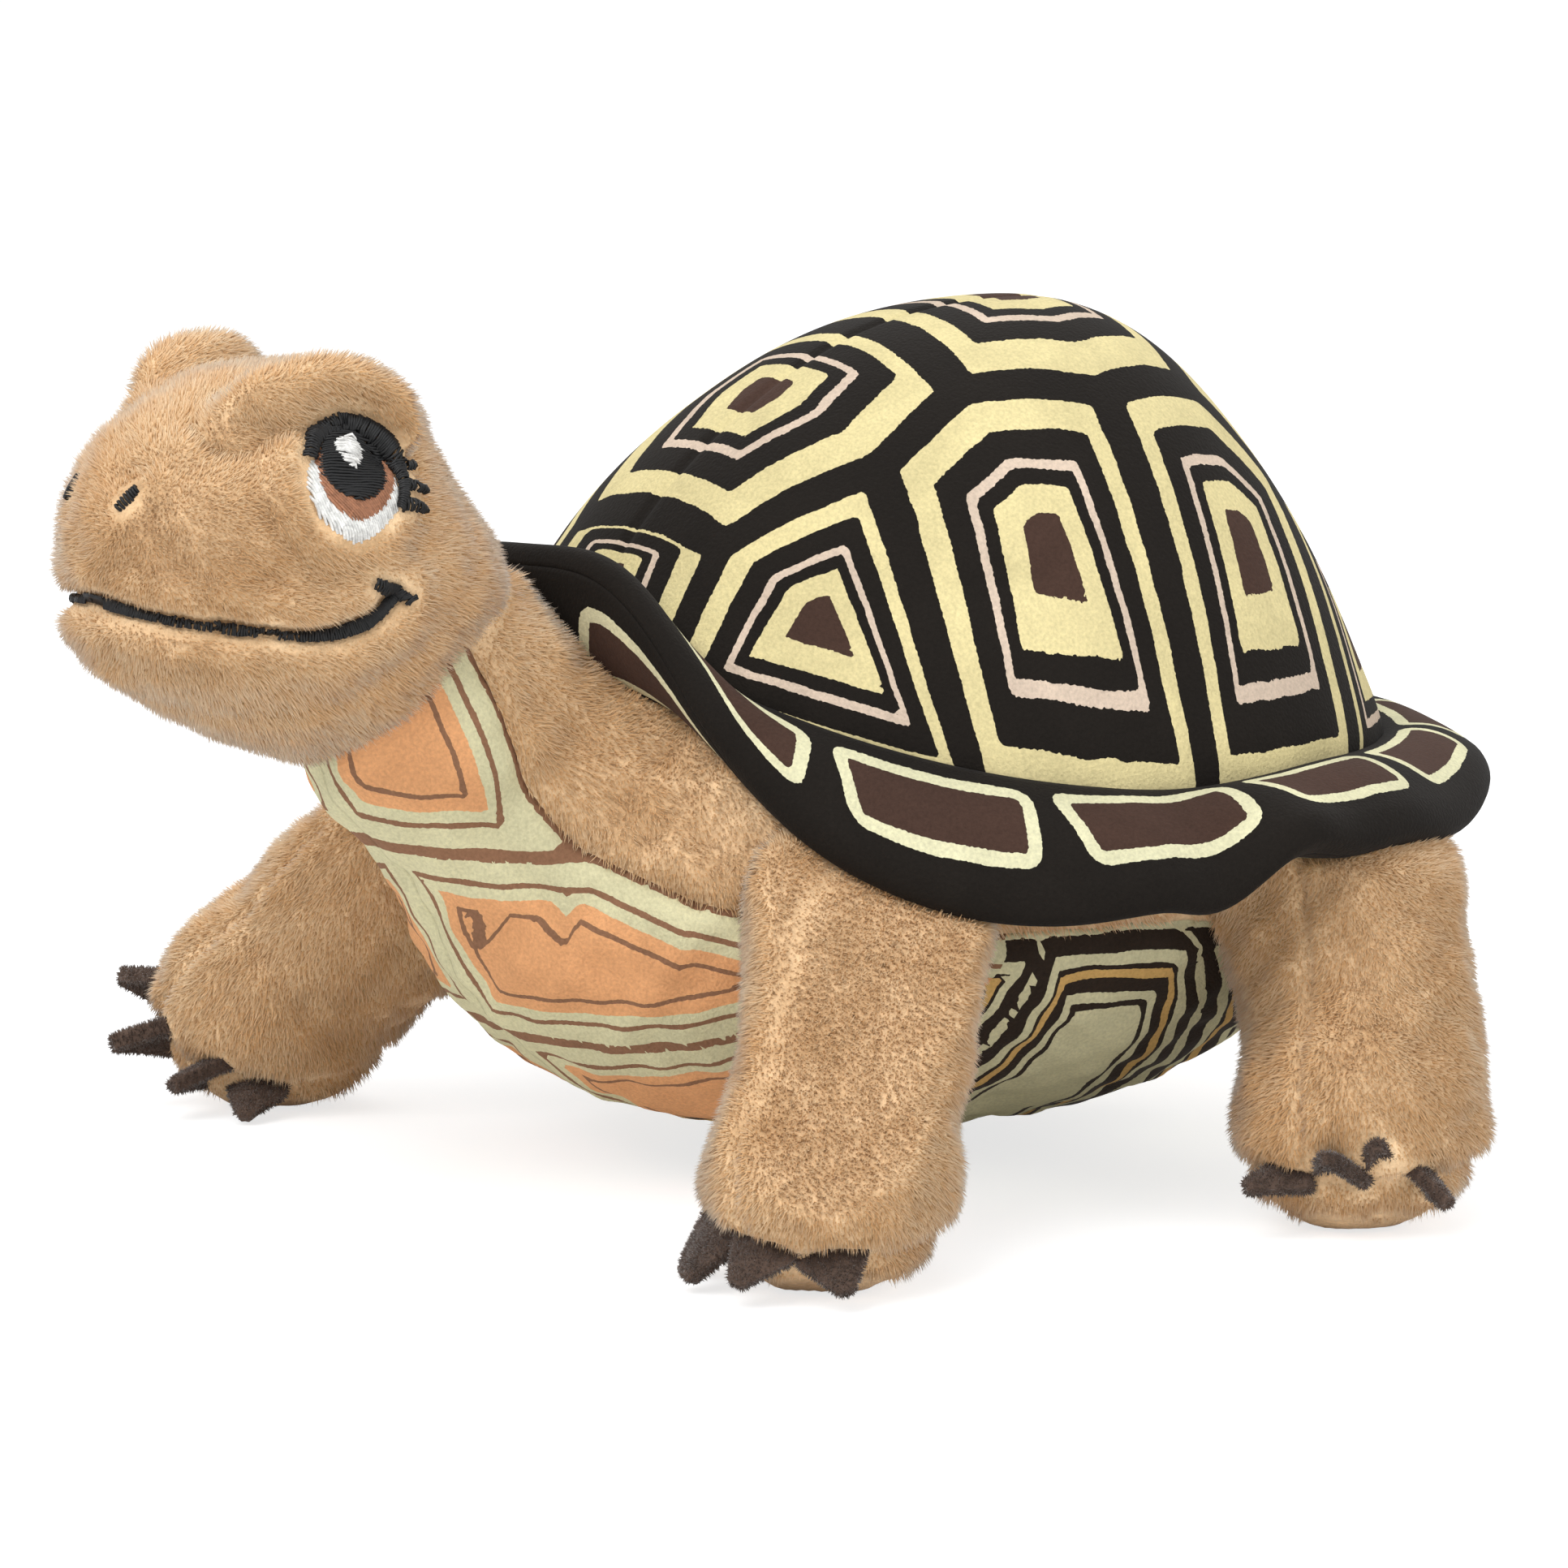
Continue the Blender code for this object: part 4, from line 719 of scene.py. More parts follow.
def build_leg(name, leg):
    """A leg with its front seam, and the sole seam, which climbs towards the outer side by an angle."""
    balls = balls_through(leg_spine(leg), leg["radii"], (5, 5, 3))
    form = grown(name, leg_field(leg), balls, LEG_CELL)
    points, normals = points_of(form), normals_of(form)
    foot = np.array(leg["foot"])
    toe = radians(leg["toe"])
    ahead = np.array([sin(toe), -cos(toe), 0.0])
    beside = np.array([cos(toe), sin(toe), 0.0])
    spine = np.array(leg["knee"]) - foot
    local = points - foot - spine * ((points[:, 2] - foot[2]) / spine[2])[:, None]
    above_seam = smooth_step(points[:, 2], leg["seam"], leg["seam"] + 0.003)
    parting = bump(local @ beside, 0.0009) * smooth_step(local @ ahead, 0.002, 0.006) * above_seam
    over_sole = points[:, 2] - leg["seam"] - np.tan(radians(leg["climb"])) * ((points - foot) @ beside)
    depth = LEG_SEAM_DEPTH * parting + SOLE_SEAM_DEPTH * bump(over_sole, 0.0012)
    swell = 0.0007 * bump(over_sole - 0.0040, 0.0030) + 0.0005 * bump(over_sole + 0.0035, 0.0024)
    points += normals * (swell - depth)[:, None]
    points = under_flange(roughened(points, normals, LEG_UNEVEN), leg["roof"])
    points[:, 2] = np.maximum(points[:, 2], FLOOR_CLEARANCE)
    place_points(form, points)
    return form, np.maximum(parting, 0.6 * bump(over_sole, 0.0008))


# Node trees
def add(tree, kind, inputs=None, **settings):
    """A node with its settings, and its inputs by name or number: values or sockets to link from."""
    node = tree.nodes.new(kind)
    for key, value in settings.items():
        setattr(node, key, value)
    for key, value in (inputs or {}).items():
        socket = node.inputs[key]
        if isinstance(value, bpy.types.NodeSocket):
            tree.links.new(value, socket)
        else:
            socket.default_value = value
    return node


def node_group(name, kind, inputs, outputs):
    group = bpy.data.node_groups.new(name, kind)
    for label, socket_type, value in inputs:
        socket = group.interface.new_socket(label, in_out="INPUT", socket_type=socket_type)
        if value is not None:
            socket.default_value = value
    for label, socket_type in outputs:
        group.interface.new_socket(label, in_out="OUTPUT", socket_type=socket_type)
    entry = group.nodes.new("NodeGroupInput")
    leave = group.nodes.new("NodeGroupOutput")
    return group, entry.outputs, leave.inputs


FLOAT, VECTOR, INTEGER = "NodeSocketFloat", "NodeSocketVector", "NodeSocketInt"
GEOMETRY, MATERIAL, OBJECT = "NodeSocketGeometry", "NodeSocketMaterial", "NodeSocketObject"


def calc(tree, operation, *values):
    """The result of a math node."""
    return add(tree, "ShaderNodeMath", dict(enumerate(values)), operation=operation).outputs[0]


def vector_calc(tree, operation, first, second=(0.0, 0.0, 0.0)):
    """The result of a vector math node. SCALE takes a number as its second value."""
    place = 3 if operation == "SCALE" else 1
    return add(tree, "ShaderNodeVectorMath", {0: first, place: second}, operation=operation).outputs[0]


def named(tree, name, kind):
    return add(tree, "GeometryNodeInputNamedAttribute", {"Name": name}, data_type=kind).outputs["Attribute"]


def stored(tree, geometry, name, value, kind, domain):
    inputs = {"Geometry": geometry, "Name": name, "Value": value}
    node = add(tree, "GeometryNodeStoreNamedAttribute", inputs, data_type=kind, domain=domain)
    return node.outputs["Geometry"]


def chance(tree, low, high, seed):
    """Random numbers between two values, or vectors where the two are vectors."""
    kind, place, out = ("FLOAT_VECTOR", 0, 0) if isinstance(low, tuple) else ("FLOAT", 2, 1)
    inputs = {place: low, place + 1: high, "Seed": seed}
    return add(tree, "FunctionNodeRandomValue", inputs, data_type=kind).outputs[out]


def pile_tree():
    """Tapered fibres over a skin, laid along its lay attribute where its pile attribute is above 0."""
    tree, given, made = node_group("plush pile", "GeometryNodeTree", (
        ("Skin", GEOMETRY, None), ("Density", FLOAT, PILE_DENSITY), ("Length", FLOAT, PILE_LENGTH),
        ("Width", FLOAT, PILE_WIDTH), ("Lie", FLOAT, PILE_LIE), ("Unruly", FLOAT, PILE_UNRULY),
        ("Seed", INTEGER, 1), ("Material", MATERIAL, None)), (("Pile", GEOMETRY),))
    mask = named(tree, "pile", "FLOAT")
    dense = calc(tree, "MULTIPLY", mask, given["Density"])
    roots = add(tree, "GeometryNodeDistributePointsOnFaces", {
        "Mesh": given["Skin"], "Density": dense, "Seed": given["Seed"]})
    upright = roots.outputs["Normal"]
    flow = vector_calc(tree, "SCALE", named(tree, "lay", "FLOAT_VECTOR"), given["Lie"])
    loose = vector_calc(tree, "SCALE", chance(tree, (-1.0, -1.0, -1.0), (1.0, 1.0, 1.0), 3), given["Unruly"])
    aim = vector_calc(tree, "ADD", vector_calc(tree, "ADD", upright, flow), loose)
    turned = add(tree, "FunctionNodeAlignRotationToVector", {"Vector": aim}, axis="Z")
    grow = calc(tree, "MULTIPLY_ADD", mask, 0.75, 0.25)
    tall = calc(tree, "MULTIPLY", chance(tree, 0.65, 1.15, 5), grow)
    sized = add(tree, "ShaderNodeCombineXYZ", {"X": 1.0, "Y": 1.0, "Z": tall})
    fibre = add(tree, "GeometryNodeMeshCone", {
        "Vertices": 3, "Radius Top": 0.0, "Radius Bottom": given["Width"], "Depth": given["Length"]},
        fill_type="NONE")
    spot = add(tree, "GeometryNodeInputPosition")
    height = add(tree, "ShaderNodeSeparateXYZ", {0: spot.outputs[0]})
    share = calc(tree, "DIVIDE", height.outputs["Z"], given["Length"])
    planted = add(tree, "GeometryNodeInstanceOnPoints", {
        "Points": roots.outputs["Points"], "Rotation": turned.outputs[0], "Scale": sized.outputs[0],
        "Instance": stored(tree, fibre.outputs["Mesh"], "tip", share, "FLOAT", "POINT")})
    toned = stored(tree, planted.outputs[0], "tone", chance(tree, 0.0, 1.0, 7), "FLOAT", "INSTANCE")
    sided = stored(tree, toned, "skin_normal", upright, "FLOAT_VECTOR", "INSTANCE")
    finish_tree(tree, sided, given["Material"], made["Pile"])
    return tree


def finish_tree(tree, geometry, material, out):
    real = add(tree, "GeometryNodeRealizeInstances", {"Geometry": geometry})
    dyed = add(tree, "GeometryNodeSetMaterial", {"Geometry": real.outputs[0], "Material": material})
    tree.links.new(dyed.outputs[0], out)


def thread_tree():
    """Threads of a set radius along the edges of a mesh."""
    tree, given, made = node_group("laid threads", "GeometryNodeTree", (
        ("Lines", GEOMETRY, None), ("Radius", FLOAT, THREAD_RADIUS), ("Material", MATERIAL, None)),
        (("Threads", GEOMETRY),))
    line = add(tree, "GeometryNodeMeshToCurve", {"Mesh": given["Lines"]})
    ring = add(tree, "GeometryNodeCurvePrimitiveCircle", {"Resolution": 5, "Radius": given["Radius"]},
               mode="RADIUS")
    tube = add(tree, "GeometryNodeCurveToMesh", {
        "Curve": line.outputs[0], "Profile Curve": ring.outputs[0], "Fill Caps": True})
    finish_tree(tree, tube.outputs[0], given["Material"], made["Threads"])
    return tree


def claw_tree():
    """One folded felt claw on each point, turned and sized by the point's attributes."""
    tree, given, made = node_group("felt claws", "GeometryNodeTree", (
        ("Spots", GEOMETRY, None), ("Claw", OBJECT, None), ("Material", MATERIAL, None)),
        (("Claws", GEOMETRY),))
    claw = add(tree, "GeometryNodeObjectInfo", {"Object": given["Claw"]})
    turn = add(tree, "FunctionNodeEulerToRotation", {0: named(tree, "turn", "FLOAT_VECTOR")})
    spots = add(tree, "GeometryNodeMeshToPoints", {"Mesh": given["Spots"]})
    sewn = add(tree, "GeometryNodeInstanceOnPoints", {
        "Points": spots.outputs[0], "Instance": claw.outputs["Geometry"], "Rotation": turn.outputs[0],
        "Scale": named(tree, "size", "FLOAT_VECTOR")})
    finish_tree(tree, sewn.outputs[0], given["Material"], made["Claws"])
    return tree


def made_by(tree, piece, name, values):
    """A new plain mesh that a node tree makes from a piece."""
    twin = copied(piece, name)
    maker = twin.modifiers.new("maker", "NODES")
    maker.node_group = tree
    for item in tree.interface.items_tree:
        if item.item_type == "SOCKET" and item.in_out == "INPUT" and item.name in values:
            maker[item.identifier] = values[item.name]
    return applied(twin)


# Shader groups
def nap_group():
    """Brushed pile: soft patches where it lies another way, and fine strands."""
    group, given, made = node_group("brushed nap", "ShaderNodeTree", (
        ("Vector", VECTOR, None), ("Patch Scale", FLOAT, 90.0), ("Strand Scale", FLOAT, 1400.0)),
        (("Patches", FLOAT), ("Strands", FLOAT)))
    patches = add(group, "ShaderNodeTexNoise", {
        "Vector": given["Vector"], "Scale": given["Patch Scale"], "Detail": 3.0, "Roughness": 0.55,
        "Distortion": 0.8})
    strands = add(group, "ShaderNodeTexNoise", {
        "Vector": given["Vector"], "Scale": given["Strand Scale"], "Detail": 2.0, "Roughness": 0.6})
    group.links.new(patches.outputs["Fac"], made["Patches"])
    group.links.new(strands.outputs["Fac"], made["Strands"])
    return group


def bleed_group():
    """A printed line's value with the small wander that ink takes in a brushed cloth."""
    group, given, made = node_group("ink bleed", "ShaderNodeTree", (
        ("Vector", VECTOR, None), ("Value", FLOAT, 0.0), ("Wander", FLOAT, 0.4), ("Fray", FLOAT, 0.2)),
        (("Value", FLOAT),))
    value = given["Value"]
    for amount, scale in (("Wander", 160.0), ("Fray", 1500.0)):
        noise = add(group, "ShaderNodeTexNoise", {"Vector": given["Vector"], "Scale": scale, "Detail": 1.0})
        shift = calc(group, "SUBTRACT", noise.outputs["Fac"], 0.5)
        value = calc(group, "MULTIPLY_ADD", shift, given[amount], value)
    group.links.new(value, made["Value"])
    return group


NAP = nap_group()
BLEED = bleed_group()


def cloth_material(name, roughness, sheen):
    material = bpy.data.materials.new(name)
    material.use_nodes = True
    tree = material.node_tree
    shader = tree.nodes["Principled BSDF"]
    shader.inputs["Roughness"].default_value = roughness
    shader.inputs["Sheen Weight"].default_value = sheen
    shader.inputs["Sheen Roughness"].default_value = 0.45
    shader.inputs["Specular IOR Level"].default_value = 0.09
    return material, tree, shader


def grouped(tree, group, values):
    """A shader group's outputs, from its inputs by name: values or sockets."""
    return add(tree, "ShaderNodeGroup", values, node_tree=group).outputs


def attribute(tree, name, out="Fac"):
    return add(tree, "ShaderNodeAttribute", attribute_name=name).outputs[out]


def nap_on(tree, patch_scale=90.0, strand_scale=1400.0):
    place = add(tree, "ShaderNodeTexCoord").outputs["Object"]
    nap = grouped(tree, NAP, {"Vector": place, "Patch Scale": patch_scale, "Strand Scale": strand_scale})
    return place, nap["Patches"], nap["Strands"]


def mixed_colour(tree, factor, low, high, blend="MIX"):
    """Two colours, each a value or a socket, mixed by a factor."""
    mix = add(tree, "ShaderNodeMix", data_type="RGBA", blend_type=blend)
    for socket, value in ((mix.inputs[0], factor), (mix.inputs[6], low), (mix.inputs[7], high)):
        if isinstance(value, bpy.types.NodeSocket):
            tree.links.new(value, socket)
        else:
            socket.default_value = value if isinstance(value, float) else (*value, 1.0)
    return mix.outputs[2]


def ramp(tree, factor, stops, interpolation="CONSTANT"):
    """Colour bands: stops are a place from 0 to 1 and a colour."""
    node = add(tree, "ShaderNodeValToRGB", {"Fac": factor})
    node.color_ramp.interpolation = interpolation
    elements = node.color_ramp.elements
    elements[0].position, elements[0].color = stops[0][0], (*stops[0][1], 1.0)
    elements[1].position, elements[1].color = stops[-1][0], (*stops[-1][1], 1.0)
    for position, colour in stops[1:-1]:
        elements.new(position).color = (*colour, 1.0)
    return node.outputs["Color"]


def printed(tree, vector, name, wander, fray):
    """An attribute of the print, with its edges wandering a little."""
    given = {"Vector": vector, "Value": attribute(tree, name), "Wander": wander, "Fray": fray}
    return grouped(tree, BLEED, given)["Value"]


def within(tree, value, low, high):
    """Value scaled so that low is 0 and high is 1."""
    return add(tree, "ShaderNodeMapRange", {"Value": value, "From Min": low, "From Max": high}).outputs[0]


def finish_cloth(tree, shader, colour, patches, strands, depth, contrast=0.22):
    shade = ramp(tree, patches, ((0.3, (1.0 - contrast,) * 3), (0.7, (1.0 + contrast * 0.4,) * 3)), "LINEAR")
    fine = ramp(tree, strands, ((0.3, (0.86,) * 3), (0.7, (1.08,) * 3)), "LINEAR")
    worn = mixed_colour(tree, 1.0, mixed_colour(tree, 1.0, colour, shade, "MULTIPLY"), fine, "MULTIPLY")
    tree.links.new(worn, shader.inputs["Base Color"])
    relief = add(tree, "ShaderNodeBump", {"Height": strands, "Distance": depth, "Strength": 0.8})
    tree.links.new(relief.outputs["Normal"], shader.inputs["Normal"])


# Colours of the toy's cloth, ink, felt and thread
TAN_LIGHT = (1.0, 0.765, 0.49)
TAN_DARK = (0.76, 0.43, 0.195)
# Root tan: painted shade that falls between the fibres near the cloth, not a dye of its own
TAN_ROOT_SHADE = (0.73, 0.41, 0.18)
INK_BLACK = (0.013, 0.0105, 0.0085)
INK_YELLOW = (0.710, 0.610, 0.320)
INK_PINK = (0.640, 0.510, 0.400)
INK_BROWN = (0.062, 0.034, 0.025)
INK_CREAM = (0.700, 0.670, 0.440)
CHEST_GREEN = (0.660, 0.620, 0.390)
CHEST_ORANGE = (0.760, 0.380, 0.175)
CHEST_LINE = (0.270, 0.140, 0.080)
BELLY_DARK = (0.032, 0.022, 0.016)
BELLY_OCHRE = (0.640, 0.400, 0.140)
FELT_BROWN = (0.078, 0.050, 0.038)
FELT_WORN = (0.135, 0.090, 0.068)
THREAD_BLACK = (0.0065, 0.0065, 0.007)
THREAD_BROWN = (0.360, 0.160, 0.085)
THREAD_WHITE = (0.800, 0.790, 0.760)


def skin_material():
    """The knitted ground of the plush, mixed in patches between the root tan, which is painted shade down in
    the pile, and the light tan.
    """
    material, tree, shader = cloth_material("tan plush ground", 0.95, 0.15)
    _, patches, strands = nap_on(tree)
    finish_cloth(tree, shader, mixed_colour(tree, patches, TAN_ROOT_SHADE, TAN_LIGHT), patches, strands, 0.0005)
    return material


def pile_material():
    """Fibres: painted darker towards the root as shade down in the pile, and each with its own tone."""
    material, tree, shader = cloth_material("tan plush pile", 0.75, 0.70)
    _, patches, _ = nap_on(tree, 48.0, 900.0)
    lean = calc(tree, "MULTIPLY_ADD", attribute(tree, "tone"), 0.45, patches)
    toned = mixed_colour(tree, within(tree, lean, 0.45, 0.98), TAN_DARK, TAN_LIGHT)
    shaded_at_root = mixed_colour(tree, within(tree, attribute(tree, "tip"), 0.0, 0.8), TAN_ROOT_SHADE, toned)
    tree.links.new(shaded_at_root, shader.inputs["Base Color"])
    upright = add(tree, "ShaderNodeVectorTransform", {"Vector": attribute(tree, "skin_normal", "Vector")},
                  vector_type="NORMAL", convert_from="OBJECT", convert_to="WORLD").outputs[0]
    own_side = add(tree, "ShaderNodeNewGeometry").outputs["Normal"]
    summed = vector_calc(tree, "ADD", own_side, vector_calc(tree, "SCALE", upright, PILE_SOFTNESS))
    tree.links.new(vector_calc(tree, "NORMALIZE", summed), shader.inputs["Normal"])
    return material


def print_material(name, colours, contrast=0.16):
    """A cloth of very short nap, with the colours that a function lays out on it."""
    material, tree, shader = cloth_material(name, 0.88, 0.02)
    vector, patches, strands = nap_on(tree, 60.0, 1800.0)
    finish_cloth(tree, shader, colours(tree, vector), patches, strands, 0.00025, contrast)
    return material


def shell_colours(tree, vector):
    """Nested bands in each scute, with dark lines between the scutes."""
    ring = printed(tree, vector, "ring", 0.035, 0.020)
    edge = printed(tree, vector, "edge", 0.9, 0.5)
    bands = ramp(tree, ring, (
        (0.0, INK_YELLOW), (0.31, INK_BLACK), (0.50, INK_PINK), (0.56, INK_BLACK), (0.66, INK_YELLOW),
        (0.83, INK_BROWN)))
    return mixed_colour(tree, calc(tree, "GREATER_THAN", edge, PRINT_LINE), INK_BLACK, bands)


def rim_colours(tree, vector):
    """Brown blocks with a pale outline on the dark flange."""
    block = within(tree, printed(tree, vector, "block", 0.7, 0.4), -10.0, 10.0)
    return ramp(tree, block, ((0.0, INK_BROWN), (0.5 - 0.05 * RIM_OUTLINE, INK_CREAM), (0.5, INK_BLACK)))


def belly_colours(tree, vector):
    """Orange cells with thin lines on the chest, and dark nested bands under the body."""
    edge = within(tree, printed(tree, vector, "edge", 0.5, 0.3), 0.0, 20.0)
    reach = printed(tree, vector, "reach", 1.5, 0.5)
    chest = ramp(tree, edge, (
        (0.0, CHEST_LINE), (0.045, CHEST_GREEN), (0.20, CHEST_LINE), (0.245, CHEST_GREEN),
        (0.33, CHEST_ORANGE), (0.43, CHEST_LINE), (0.465, CHEST_ORANGE)))
    under = ramp(tree, edge, (
        (0.0, CHEST_GREEN), (0.05, BELLY_DARK), (0.19, CHEST_GREEN), (0.29, BELLY_DARK), (0.335, BELLY_OCHRE),
        (0.41, BELLY_DARK), (0.52, CHEST_GREEN), (0.60, BELLY_DARK), (0.65, CHEST_GREEN)))
    return mixed_colour(tree, calc(tree, "GREATER_THAN", reach, CHEST_REACH), under, chest)


def thread_material(name, colour):
    material, tree, shader = cloth_material(name, 0.45, 0.0)
    shader.inputs["Specular IOR Level"].default_value = 0.30
    _, patches, strands = nap_on(tree, 900.0, 3000.0)
    finish_cloth(tree, shader, colour, patches, strands, 0.00008, 0.35)
    return material


def felt_material():
    material, tree, shader = cloth_material("brown felt", 0.95, 0.4)
    _, patches, strands = nap_on(tree, 300.0, 1500.0)
    finish_cloth(tree, shader, mixed_colour(tree, patches, FELT_BROWN, FELT_WORN), patches, strands, 0.0005)
    return material


# Print: cells of a tortoise's shell, each with its own focus, and the blocks of its flange
DOME_ARC_SIDE = 112.0
DOME_ARC_LENGTH = 104.0
SCUTES = tuple((0.0, y) for y in (-86.0, -45.0, 0.0, 43.0, 84.0)) + tuple(
    (side * x, y) for side in (1.0, -1.0)
    for x, y in ((56.0, -68.0), (66.0, -23.0), (66.0, 22.0), (58.0, 66.0)))
FOCUS_PULL = 0.10
RIM_BLOCKS = 14


def cell_print(spots, centres, rim_gap):
    """Distance in mm to the border of each point's cell, and 0 there to 1 at the cell's focus."""
    centres = np.array(centres)
    foci = centres * (1.0 - FOCUS_PULL)
    away = ((spots[:, None, :] - centres[None]) ** 2).sum(2)
    nearest = away.argmin(1)
    own, focus = centres[nearest], foci[nearest]
    edge = rim_gap(spots)
    ring = edge / np.maximum(rim_gap(focus), 1.0)
    for other in centres:
        apart = np.linalg.norm(other - own, axis=1)
        real = apart > 1.0
        apart = np.where(real, 2.0 * apart, 1.0)
        gap = (((spots - other) ** 2).sum(1) - ((spots - own) ** 2).sum(1)) / apart
        whole = (((focus - other) ** 2).sum(1) - ((focus - own) ** 2).sum(1)) / apart
        edge = np.where(real, np.minimum(edge, gap), edge)
        ring = np.where(real, np.minimum(ring, gap / np.maximum(whole, 1.0)), ring)
    return edge, ring


def dome_print(dome, angle, climb):
    reach = (90.0 - climb) / 90.0
    turn = np.radians(angle)
    spots = np.stack((np.sin(turn) * reach * DOME_ARC_SIDE, -np.cos(turn) * reach * DOME_ARC_LENGTH), 1)
    edge, ring = cell_print(spots, SCUTES, lambda points: (1.03 - np.hypot(
        points[:, 0] / DOME_ARC_SIDE, points[:, 1] / DOME_ARC_LENGTH)) * DOME_ARC_LENGTH)
    set_attribute(dome, "edge", edge)
    set_attribute(dome, "ring", np.clip(ring, 0.0, 1.0))


def rim_blocks(piece, angle, share, face):
    """Signed distance in mm to the rounded blocks of the flange: below 0 inside them."""
    pitch = 360.0 / RIM_BLOCKS
    place = ((angle + pitch * (0.5 + 0.25 * (face < 0.0))) % pitch) / pitch - 0.5
    flare = 1.0 - 0.25 * (share - 0.5)
    across = np.abs(place) * 32.0 / flare - 13.6
    along = np.abs(share - 0.46) * 19.0 - 5.8
    outside = np.hypot(np.maximum(across + 2.6, 0.0), np.maximum(along + 2.6, 0.0))
    set_attribute(piece, "block", outside + np.minimum(np.maximum(across, along) + 2.6, 0.0) - 2.6)


BELLY_CELLS = (78.0, 50.0, 16.0, -22.0, -60.0)
CHEST_REACH = 25.0


def belly_print_on(piece, seam_gap):
    """Cross bands of the underside, by the angle round the body from the throat to the rump."""
    points = points_of(piece)
    around = np.degrees(np.arctan2(-(points[:, 1] - 0.010), 0.072 - points[:, 2]))
    around += 11.0 * (np.abs(points[:, 0]) / 0.05) ** 1.4
    edge = np.minimum(np.abs(points[:, 0]) * 1000.0 + 0.6, np.abs(seam_gap) * 1000.0)
    for border in BELLY_CELLS:
        edge = np.minimum(edge, np.abs(around - border) * 1.1)
    set_attribute(piece, "edge", edge)
    set_attribute(piece, "reach", around)


# CAD nodes that each thread colour of the eye stands for
STANDS_FOR = {"white": ("eye_white",), "brown": ("iris",), "black": ("pupil", "eyelid", "nostril"),
              "glint": ("eye_glint",)}

# Embroidery: outlines in mm on the face, forwards and upwards from the eye's centre
EYE_WHITE = (
    (5.9, 2.2), (7.0, -1.0), (7.0, -4.1), (5.6, -7.5), (3.4, -9.6), (1.4, -10.2), (-1.5, -9.2), (-4.5, -7.1),
    (-6.6, -5.0), (-7.2, -1.0), (-6.0, 4.0), (0.0, 6.0))
EYE_IRIS = (
    (4.6, 4.0), (5.4, 0.6), (5.3, -2.1), (4.2, -4.7), (2.6, -7.1), (0.8, -8.0), (-2.2, -6.9), (-4.9, -5.0),
    (-6.7, -2.8), (-7.3, -0.6), (-7.0, 2.4), (0.0, 5.5))
EYE_PUPIL = (
    (2.3, 6.3), (4.0, 3.6), (4.7, 0.7), (4.0, -1.6), (2.4, -3.4), (0.2, -4.3), (-2.4, -3.9), (-4.8, -2.4),
    (-6.0, -0.4), (-6.6, 1.8), (-6.0, 4.6), (-2.4, 6.6))
EYE_LID_OUTER = (
    (6.9, 3.6), (5.6, 5.8), (3.8, 8.0), (1.2, 9.4), (-1.5, 9.7), (-4.1, 9.1), (-6.3, 7.9), (-8.1, 5.9),
    (-9.1, 3.7), (-9.4, 1.2), (-9.0, -1.5), (-8.1, -4.0), (-6.8, -6.2))
EYE_LID_INNER = (
    (5.0, 2.7), (3.9, 4.7), (2.3, 5.9), (0.5, 6.3), (-1.0, 6.4), (-2.6, 6.2), (-4.6, 5.4), (-6.0, 4.2),
    (-6.9, 2.4), (-7.4, 0.4), (-7.2, -1.6), (-6.8, -3.4), (-6.1, -5.2))
EYE_GLINT = (
    (-0.4, 5.5), (1.0, 5.1), (1.8, 4.0), (1.4, 2.0), (0.2, 0.6), (-1.2, 1.4), (-2.1, 2.8), (-1.8, 4.6))
LASHES = (
    ((-8.9, 0.8), (-10.6, 1.0), (-12.2, 2.5)), ((-8.6, -2.2), (-10.2, -2.4), (-12.2, -2.0)),
    ((-7.6, -5.0), (-9.4, -5.2), (-11.4, -4.8)))
LASH_WIDTHS = (1.8, 1.2, 0.5)
NOSTRIL_CENTRE = (0.0082, -0.1120, 0.1095)
NOSTRIL_LINE = ((1.0, 1.5), (0.2, 0.3), (-0.8, -1.3))
NOSTRIL_WIDTHS = (1.2, 2.1, 1.4)
NOSE_OUT = Vector((0.34, -0.93, 0.12)).normalized()
NOSE_ACROSS = Vector((0.0, 0.0, 1.0)).cross(NOSE_OUT).normalized()
NOSE_UP = NOSE_OUT.cross(NOSE_ACROSS)
MOUTH_WIDTHS = (1.7, 1.5, 1.3, 1.2, 1.0, 1.2, 1.3, 1.5, 1.7)
MOUTH_BAR_WIDTHS = (1.6, 2.4, 2.0)


def eye_spot(spot):
    return Vector(EYE_CENTRE) + EYE_AHEAD * (spot[0] * 0.001) + EYE_UP * (spot[1] * 0.001)


def nose_spot(spot):
    return Vector(NOSTRIL_CENTRE) + NOSE_ACROSS * (spot[0] * 0.001) + NOSE_UP * (spot[1] * 0.001)


def satin_fill(outline, slant, pitch):
    """Stitch lines in mm across a closed outline, laid at a slant in degrees."""
    turn = radians(slant)
    along = np.array([cos(turn), sin(turn)])
    across = np.array([-sin(turn), cos(turn)])
    corners = np.array(curve_through(tuple(outline) + (outline[0],), 4))
    low, high = (corners @ across).min(), (corners @ across).max()
    lines = []
    for level in np.arange(low + pitch / 2.0, high, pitch):
        crossings = []
        for start, end in zip(corners, corners[1:]):
            first, second = start @ across - level, end @ across - level
            if first * second < 0.0:
                crossings.append((start + (end - start) * first / (first - second)) @ along)
        crossings.sort()
        for begin, stop in zip(crossings[::2], crossings[1::2]):
            if stop - begin > pitch:
                ragged = 0.16 * sin(level * 37.0)
                count = max(3, int((stop - begin) / 1.1) + 1)
                lines.append([along * reach + across * level
                              for reach in np.linspace(begin + ragged, stop + ragged, count)])
    return lines


